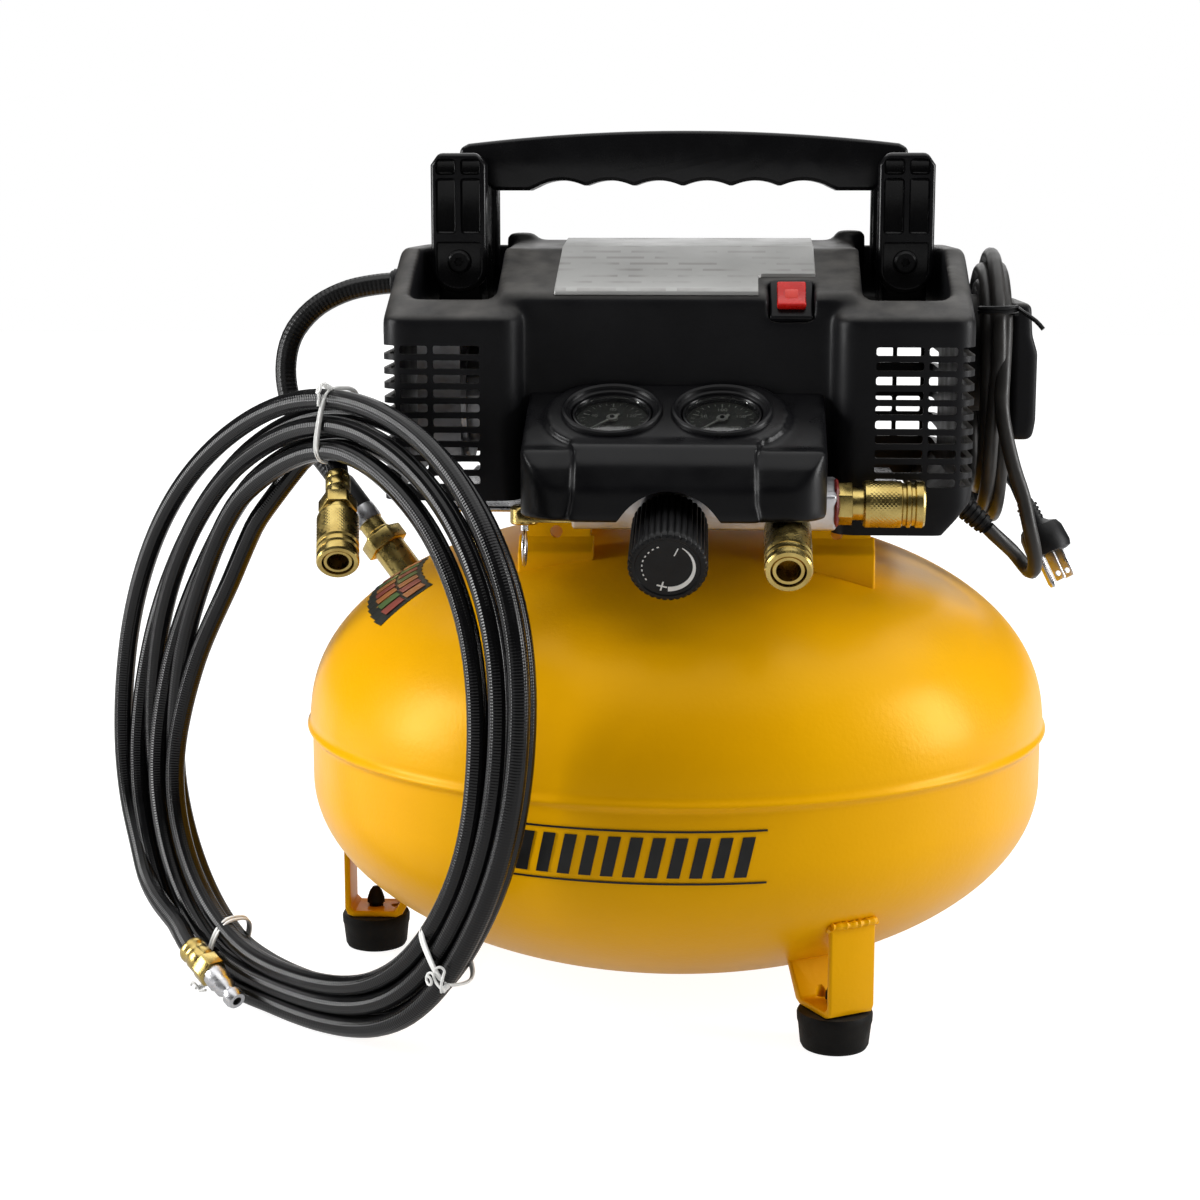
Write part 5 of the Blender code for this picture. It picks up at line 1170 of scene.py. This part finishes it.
# ---------------------------------------------------------------- handle
def grip_outline():
    """The grip from the front: a crowned top and six scallops below."""
    reach = TOWER_OFFSET + 0.002
    points = [(HEAD_X - reach, GRIP_END_Z - 0.008), (HEAD_X - reach, GRIP_END_Z - 0.002)]
    for i in range(25):
        share = -0.96 + 1.92 * i / 24
        points.append((HEAD_X + reach * share, GRIP_CROWN_Z - (GRIP_CROWN_Z - GRIP_END_Z) * share ** 2))
    points += [(HEAD_X + reach, GRIP_END_Z - 0.002), (HEAD_X + reach, GRIP_END_Z - 0.008)]
    points += [(HEAD_X + 0.105, GRIP_UNDER_Z - GRIP_END_DROP), (HEAD_X + 0.085, GRIP_UNDER_Z - GRIP_END_DROP)]
    count, steps = 6, 12
    start = 0.5 * count * SCALLOP_PITCH
    for i in range(count * steps + 1):
        along = start - SCALLOP_PITCH * i / steps
        phase = (i % steps) / steps
        points.append((HEAD_X + along, GRIP_UNDER_Z - SCALLOP_DEPTH * (1.0 - math.sin(math.pi * phase) ** 0.8)))
    points += [(HEAD_X - 0.085, GRIP_UNDER_Z - GRIP_END_DROP), (HEAD_X - 0.105, GRIP_UNDER_Z - GRIP_END_DROP)]
    return points


def tower_outline(middle, grow=0.0):
    half = TOWER_HALF_WIDTH + grow
    points = [(middle - half, TOWER_FOOT_Z + 0.013), (middle - half, TOWER_TOP_Z - 0.0065),
        (middle - half + 0.0045, TOWER_TOP_Z + grow), (middle + half - 0.0045, TOWER_TOP_Z + grow),
        (middle + half, TOWER_TOP_Z - 0.0065), (middle + half, TOWER_FOOT_Z + 0.013)]
    for i in range(1, 16):
        turn = math.pi * i / 16
        points.append((middle + half * math.cos(turn), TOWER_FOOT_Z + 0.013 * (1.0 - math.sin(turn)) - grow))
    return points


def make_handle():
    """Two halves, each a grip on two pocketed towers, with bolts."""
    for name, side in (("handle_half_front", -1.0), ("handle_half_rear", 1.0)):
        ys = sorted((side * 0.00045, side * GRIP_HALF_DEPTH))
        grip = bevel(prism(grip_outline(), "Y", ys[0], ys[1]), 0.0028, 3, 50.0)
        for hand in (-1.0, 1.0):
            middle = HEAD_X + hand * TOWER_OFFSET
            ys = sorted((side * 0.00045, side * 0.033))
            core = bevel(box((middle - 0.012, ys[0], 0.3803), (middle + 0.012, ys[1], 0.4596)), 0.0015, 2)
            boolean(grip, core, "UNION")
            ys = sorted((side * 0.027, side * TOWER_DEPTH))
            boolean(grip, bevel(prism(tower_outline(middle), "Y", ys[0], ys[1]), 0.0024, 3, 40.0), "UNION")
        cuts = []
        for hand in (-1.0, 1.0):
            middle = HEAD_X + hand * TOWER_OFFSET
            ys = sorted((side * (TOWER_DEPTH - 0.0042), side * (TOWER_DEPTH + 0.01)))
            for left, right, low, high in ((-0.0124, -0.0012, 0.418, 0.4482), (0.0012, 0.0124, 0.418, 0.4482),
                    (-0.0124, -0.0012, 0.4498, 0.4585), (0.0012, 0.0124, 0.4498, 0.4585)):
                cuts.append(bevel(box((middle + left, ys[0], low), (middle + right, ys[1], high)), 0.0022, 3))
            half = 0.0122
            foot = [(middle - half, 0.414), (middle - half, TOWER_FOOT_Z + 0.0125)]
            foot += [(middle - half * math.cos(math.pi * i / 14),
                TOWER_FOOT_Z + 0.0125 - 0.01 * math.sin(math.pi * i / 14)) for i in range(1, 14)]
            foot += [(middle + half, TOWER_FOOT_Z + 0.0125), (middle + half, 0.414)]
            ys = sorted((side * (TOWER_DEPTH - 0.0026), side * (TOWER_DEPTH + 0.01)))
            cuts.append(bevel(prism(foot, "Y", ys[0], ys[1]), 0.0012, 2, 40.0))
        boolean(grip, join(cuts))
        tabs = []
        for x in (-0.0904, -0.0529, 0.0028, 0.0582, 0.0963):
            ys = sorted((side * 0.0004, -side * 0.01 + side * 0.0135))
            tabs.append(bevel(box((x - 0.0042, ys[0], 0.4676), (x + 0.0042, ys[1], 0.48)), 0.0006, 1))
        boolean(grip, join(tabs))
        piece(name, grip, GLOSS, replaces=("handle_front" if side < 0 else "handle_rear",), crease=38.0)
        end = "front" if side < 0 else "rear"
        for hand, label in ((-1.0, "left"), (1.0, "right")):
            bolt = turned([(0, 0.0012), (0.002, 0.0012), (0.0023, 0.0032), (0.005, 0.003), (0.0062, 0.002),
                (0.0065, 0.0008), (0.0065, 0), (0.003, 0), (0.003, -0.008), (0, -0.008)], 40,
                ripple=lambda a, r, h: 0.0003 * math.cos(6 * a) if r < 0.0024 and h > 0.001 else 0.0)
            spot = (HEAD_X + hand * TOWER_OFFSET, side * (TOWER_DEPTH - 0.0028), 0.403)
            piece(f"bolt_{end}_{label}", place(bolt, spot, (-side * QUARTER_TURN, 0.0, 0.0)), DARK,
                "zinc_steel", replaces=(f"handle_bolt_{end}_{label}",))


# ---------------------------------------------------------------- console and gauges
def console_form(inset, low):
    """The hood as a solid, its walls moved in by the inset."""
    x_mid, half = 0.0025, 0.077
    slope = math.tan(TILT)
    back, brow, front = -CENTRE_DEPTH - 0.0003, -0.157, -0.1775
    top = GAUGE_Z - 0.005 + (back - GAUGE_Y) * slope - inset / math.cos(TILT)
    start = back + (3 * inset if inset > 0 else 0.0)
    outline = [(start, low), (start, top + (3 * inset * slope if inset > 0 else 0.0)),
        (brow, top - (back - brow) * slope), (-0.165 + 0.7 * inset, 0.314 - 0.7 * inset),
        (-0.1725 + 0.9 * inset, 0.3065 - 0.5 * inset), (front + inset, 0.296), (front + inset, low)]
    hood = prism(outline, "X", x_mid - 0.1, x_mid + 0.1)
    plan = rounded_plan((x_mid - half + inset, front - 0.0001 + inset), (x_mid + half - inset, 0.0),
        0.02 - inset, 10)
    boolean(hood, prism(plan, "Z", 0.24, 0.4), "INTERSECT")
    return settle(hood)


def gauge_frame(x):
    """Where a dial stands and how it leans."""
    return (x, GAUGE_Y, GAUGE_Z), (TILT, 0.0, 0.0)


def make_console():
    """Hood with a raised mask round the dials, cut out for the dials, the knob and the couplers."""
    hood = console_form(0.0, 0.2795)
    mask = console_form(-0.0042, 0.2795)
    mid = 0.5 * (GAUGE_XS[0] + GAUGE_XS[1])
    goggle = []
    for x in GAUGE_XS:
        goggle.append(place(cylinder(0.0345, -0.015, 0.04, 64), *gauge_frame(x)))
    bridge = place(box((-0.0282, -0.0345, -0.015), (0.0282, 0.0345, 0.04)), *gauge_frame(mid))
    panel = prism([(mid - 0.05, 0.27), (mid - 0.0455, 0.29), (mid - 0.045, 0.313), (mid - 0.05, 0.322),
        (mid + 0.05, 0.322), (mid + 0.045, 0.313), (mid + 0.0455, 0.29), (mid + 0.05, 0.27)], "Y", -0.2, -0.13)
    for other in (goggle[1], bridge, panel):
        boolean(goggle[0], other, "UNION")
    settle(goggle[0])
    boolean(mask, goggle[0], "INTERSECT")
    settle(mask)
    boolean(hood, mask, "UNION")
    settle(hood)
    soften(hood, 0.00135, 13)
    settle(hood)
    boolean(hood, console_form(0.003, 0.25))
    arch = place(cylinder(0.03, 0.005, 0.09, 72), MANIFOLD + Vector((KNOB_X, 0, 0)), LEAN)
    boolean(hood, arch)
    boolean(hood, bevel(box((0.07, -0.152, 0.27), (0.1, -0.116, 0.302)), 0.003, 3))
    for x in GAUGE_XS:
        boolean(hood, place(cylinder(GAUGE_RADIUS + 0.003, -0.03, 0.02, 72), *gauge_frame(x)))
    settle(hood)
    rims = []
    r = GAUGE_RADIUS
    for x in GAUGE_XS:
        rim = turned([(r + 0.0004, -0.0085), (0.0262, -0.0085), (0.0262, 0.0008), (0.0256, 0.002),
            (0.0244, 0.0025), (0.0232, 0.0018), (0.0228, 0.0004), (0.0222, -0.0002), (r + 0.0008, -0.0006),
            (r + 0.0004, -0.0014)], 96, True)
        rims.append(place(rim, *gauge_frame(x)))
    piece("console_hood", [hood] + rims, HOOD, replaces=("console",), crease=38.0)


def dial_marks(x, kind):
    """Ticks round a dial and short generic numbers, raised a hair from its face."""
    marks = []
    for i in range(DIAL_TICKS):
        turn = math.radians(DIAL_START - DIAL_SWEEP * i / (DIAL_TICKS - 1))
        major = i % 5 == 0
        near, far, half = (0.0128 if major else 0.0142), 0.016, (0.00035 if major else 0.0002)
        tick = box((near, -half, -0.0059), (far, half, -0.0057))
        tick.data.transform(Matrix.Rotation(turn, 4, "Z"))
        marks.append(tick)
    for index, number in enumerate(("0", "50", "100", "150", "200") if kind
            else ("0", "40", "80", "120", "160")):
        turn = math.radians(DIAL_START - DIAL_SWEEP * index / 4)
        curve = bpy.data.curves.new("number", "FONT")
        curve.body, curve.size, curve.extrude = number, 0.0036, 0.0001
        curve.align_x = curve.align_y = "CENTER"
        text = bpy.data.objects.new("number", curve)
        bpy.context.scene.collection.objects.link(text)
        bpy.context.view_layer.update()
        mesh = bpy.data.meshes.new_from_object(text)
        bpy.data.objects.remove(text)
        mesh.transform(Matrix.Translation((0.0101 * math.cos(turn), 0.0101 * math.sin(turn), -0.0058)))
        obj = bpy.data.objects.new("number", mesh)
        bpy.context.scene.collection.objects.link(obj)
        HELPERS.append(obj)
        marks.append(obj)
    return [place(m, *gauge_frame(x)) for m in marks]


def make_gauges():
    """Case, dial, marks, pointer and lens of each gauge."""
    r = GAUGE_RADIUS
    for kind, (name, x) in enumerate(zip(("tank", "outlet"), GAUGE_XS)):
        spot = gauge_frame(x)
        case = turned([(0, -0.021), (r - 0.0005, -0.021), (r, -0.02), (r, -0.0022), (r - 0.0004, -0.0012),
            (r - 0.0012, -0.001), (r - 0.0018, -0.0018), (r - 0.002, -0.0061), (0.0012, -0.0061),
            (0.0011, -0.0036), (0, -0.0036)], 72)
        # The steel case is drawn gloss black: painted shade of the deep well round the dial.
        piece(f"{name}_case", place(case, *spot), GLOSS, "zinc_steel", replaces=(f"{name}_gauge_case",))
        face = turned([(0.0016, -0.00605), (r - 0.0021, -0.00605), (r - 0.0021, -0.00592), (0.0016, -0.00592)],
            72, True)
        piece(f"{name}_dial", place(face, *spot), DIAL)
        # Marks drawn dim grey: painted shade of the deep well round the dial.
        piece(f"{name}_marks", dial_marks(x, kind), SHADED_DIAL_INK, crease=20.0)
        hub = turned([(0.0014, -0.0052), (0.003, -0.0052), (0.003, -0.0044), (0.0026, -0.004),
            (0.0014, -0.004)], 40, True)
        pointer = prism([(-0.0009, 0.005), (0.0009, 0.005), (0.0006, -0.002), (0.0002, -0.015),
            (-0.0002, -0.015), (-0.0006, -0.002)], "Z", -0.005, -0.0044)
        hole = cylinder(0.0013, -0.01, 0.0, 24)
        boolean(pointer, hole)
        settle(pointer)
        pointer.data.transform(Matrix.Rotation(math.radians(-45.0), 4, "Z"))
        # Pointer drawn dim grey: painted shade of the deep well round the dial.
        piece(f"{name}_pointer", [place(hub, *spot), place(pointer, *spot)], SHADED_DIAL_INK, body=f"{name}_needle",
            replaces=(f"{name}_gauge_needle",))
        lens = turned([(0, -0.003), (r - 0.002, -0.003), (r - 0.002, -0.002), (0.5 * r, -0.0016), (0, -0.0014)],
            72)
        piece(f"{name}_glass", place(lens, *spot), GLASS, replaces=(f"{name}_gauge_lens",))


# ---------------------------------------------------------------- regulator, couplers, valves
def make_regulator():
    """Manifold bar, bonnet and ribbed knob with its marks."""
    bar = bevel(box((-0.05, -0.0105, -0.0105), (0.085, 0.0105, 0.0105)), 0.0018, 3)
    place(bar, MANIFOLD, LEAN)
    nipple = place(cylinder(0.008, 0.0, 0.0345), (0.0, MANIFOLD.y, MANIFOLD.z), (-QUARTER_TURN, 0.0, 0.0))
    boolean(bar, nipple, "UNION")
    piece("manifold_bar", bar, ALLOY, replaces=("manifold",))
    spot = MANIFOLD + Vector((KNOB_X, 0, 0))
    body = turned([(0, 0.0108), (0.016, 0.0108), (0.0164, 0.012), (0.0164, 0.0172), (0.0156, 0.0185),
        (0.008, 0.0195), (0.008, 0.0215), (0, 0.0215)], 64)
    piece("regulator_bonnet", place(body, spot, LEAN), ALLOY, replaces=("regulator_body",))

    def ripple(angle, radius, height):
        if radius < 0.0185:
            return 0.0
        wave = abs(math.sin(0.5 * KNOB_RIBS * angle))
        deep = 0.0013 if height < KNOB_FACE - 0.0035 else 0.0007
        return -deep * (1.0 - wave) ** 1.5

    r = KNOB_RADIUS
    profile = [(0, 0.0218), (0.0178, 0.0218), (0.019, 0.0226), (0.0194, 0.024)]
    profile += [(0.0194 + (r - 0.0194) * i / 8, 0.024 + (KNOB_FACE - 0.0275) * i / 8) for i in range(1, 8)]
    profile += [(r, KNOB_FACE - 0.0035), (r, KNOB_FACE - 0.0022), (r - 0.0008, KNOB_FACE - 0.0007),
        (r - 0.0022, KNOB_FACE), (r - 0.0034, KNOB_FACE - 0.0001), (r - 0.004, KNOB_FACE - 0.0008),
        (0, KNOB_FACE - 0.0008)]
    knob = turned(profile, 10 * KNOB_RIBS, ripple=ripple)
    piece("regulator_grip", place(knob, spot, LEAN), DARK, "black_plastic", body="knob",
        replaces=("regulator_knob",), crease=32.0)
    face_low, face_high = KNOB_FACE - 0.001, KNOB_FACE - 0.00055
    crescent, inside = [], []
    for i in range(41):
        share = i / 40
        turn = math.radians(58.0 - 148.0 * share)
        wide = 0.0004 + 0.0023 * share ** 0.8
        crescent.append((0.0138 * math.cos(turn), 0.0138 * math.sin(turn)))
        inside.append(((0.0138 - wide) * math.cos(turn), (0.0138 - wide) * math.sin(turn)))
    marks = [prism(crescent + inside[::-1], "Z", face_low, face_high)]
    tick = box((-0.0003, -0.0024, face_low), (0.0003, 0.0024, face_high))
    tick.data.transform(Matrix.Translation((0.0042, 0.0092, 0.0)) @ Matrix.Rotation(math.radians(-25.0), 4,
        "Z"))
    cross_a = box((-0.0026, -0.0004, face_low), (0.0026, 0.0004, face_high))
    cross_b = box((-0.0004, -0.0026, face_low), (0.0004, 0.0026, face_high - 0.00001))
    for part in (cross_a, cross_b):
        part.data.transform(Matrix.Translation((-0.003, -0.0108, 0.0)) @ Matrix.Rotation(math.radians(-15.0), 4,
            "Z"))
    marks += [tick, cross_a, cross_b]
    for index in range(9):
        turn = math.radians(112.0 + 12.5 * index)
        dot = box((-0.00055, -0.0003, face_low), (0.00055, 0.0003, face_high))
        dot.data.transform(Matrix.Rotation(turn + QUARTER_TURN, 4,
            "Z") @ Matrix.Translation((0.0, -0.0128, 0.0)))
        marks.append(dot)
    for mark in marks:
        place(mark, spot, LEAN)
    piece("regulator_marks", marks, WHITE, body="knob", crease=20.0)


def make_couplers():
    coupler("front_coupler", 0.0108, MANIFOLD + Vector((FRONT_COUPLER_X, 0, 0)), LEAN, 0.064, "front_sleeve")
    coupler("side_coupler", 0.0, MANIFOLD + Vector((0.0853, 0, 0)), ALONG_X, 0.0445, "side_sleeve")


def make_valves():
    """Thread sealant at the side coupler, and the relief valve with its ring."""
    bead = turned([(0.009, -0.0002), (0.0116, 0.0), (0.0122, 0.001), (0.0112, 0.0022), (0.009, 0.0022)], 40,
        True, ripple=lambda a, r, h: 0.0005 * math.sin(7 * a) + 0.0003 * math.sin(13 * a + 1.0))
    piece("thread_sealant_ring", place(bead, MANIFOLD + Vector((0.084, 0, 0)), ALONG_X), SEALANT)
    top = Vector((-0.0765, -0.1145, 0.2695))
    valve = turned([(0.0026, 0.0), (0.0068, 0.0), (0.0075, 0.0008), (0.0075, 0.008), (0.0066, 0.0092),
        (0.0056, 0.0098), (0, 0.0098), (0, 0.0075), (0.0026, 0.0075)], 40, True)
    valve.location = top
    link = bevel(box((-0.079, -0.133, 0.2725), (-0.0503, -0.118, 0.2782)), 0.001, 2)
    piece("relief_valve_body", [valve, link], BRASS, replaces=("safety_valve",))
    ring = []
    for i in range(48):
        turn = 2.0 * math.pi * i / 48
        ring.append(top + Vector((0.0, 0.0093 * math.cos(turn), -0.0125 + 0.0093 * math.sin(turn))))
    stem = turned([(0, -0.0036), (0.0021, -0.0036), (0.0021, 0.007), (0, 0.007)], 24)
    stem.location = top
    piece("relief_ring", [tube(ring, 0.0008, 10, closed=True), stem], STEEL, body="relief_ring",
        replaces=("safety_ring",))


# ---------------------------------------------------------------- cord wrap
def make_cord_wrap():
    """Drum on the cover's right side with an upright end plate."""
    wall = HEAD_X + COVER_HALF_WIDTH + 0.0003
    drum = place(turned([(0, -0.0004), (WRAP_DRUM_RADIUS + 0.001, -0.0004), (WRAP_DRUM_RADIUS, 0.002),
        (WRAP_DRUM_RADIUS - 0.0006, 0.014), (WRAP_DRUM_RADIUS, 0.029), (0, 0.029)], 72),
        (wall, 0.0, WRAP_DRUM_Z), ALONG_X)
    inner = wall + 0.0265
    outline = [(inner, 0.3065), (inner, 0.3815), (inner + 0.0105, 0.3812), (inner + 0.0115, 0.364),
        (inner + 0.0146, 0.354), (inner + 0.0146, 0.317), (inner + 0.0128, 0.3065)]
    plate = bevel(prism(outline, "Y", -0.0352, 0.0352), 0.0035, 4, 30.0)
    boolean(drum, plate, "UNION")
    settle(drum)
    soften(drum, 0.0011, 6)
    piece("cord_wrap_spool", drum, COVER, replaces=("cord_wrap",), crease=50.0)


# ---------------------------------------------------------------- assembly
for make in (make_stage, make_power_cord, make_hose, make_ties, make_discharge, make_tank, make_decoration,
        make_colour_blocks, make_feet, make_brackets, make_cover, make_label, make_switch, make_handle,
        make_console, make_gauges, make_regulator, make_couplers, make_valves, make_cord_wrap):
    make()


# ---------------------------------------------------------------- carried-over frame pieces
def dress(names, finish):
    """New material for frame pieces that stay as they are."""
    for name in names:
        data = NODES[name].data
        data.materials.clear()
        data.materials.append(finish.mat)


dress(("base_plate", "motor_shaft", "flywheel", "wobble_piston"), STEEL)
dress(("crankcase", "cylinder", "cylinder_head", "motor_housing"), ALLOY)
dress(("drain_valve", "drain_key"), BRASS)
dress(("drive_belt",), RUBBER)
dress(("cooling_fan",), DARK)

for leftover in bpy.data.objects:
    if leftover.type == "MESH" and "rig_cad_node" in leftover and not leftover.hide_render:
        leftover.data.shade_smooth()
        leftover.data.set_sharp_from_angle(angle=math.radians(35.0))
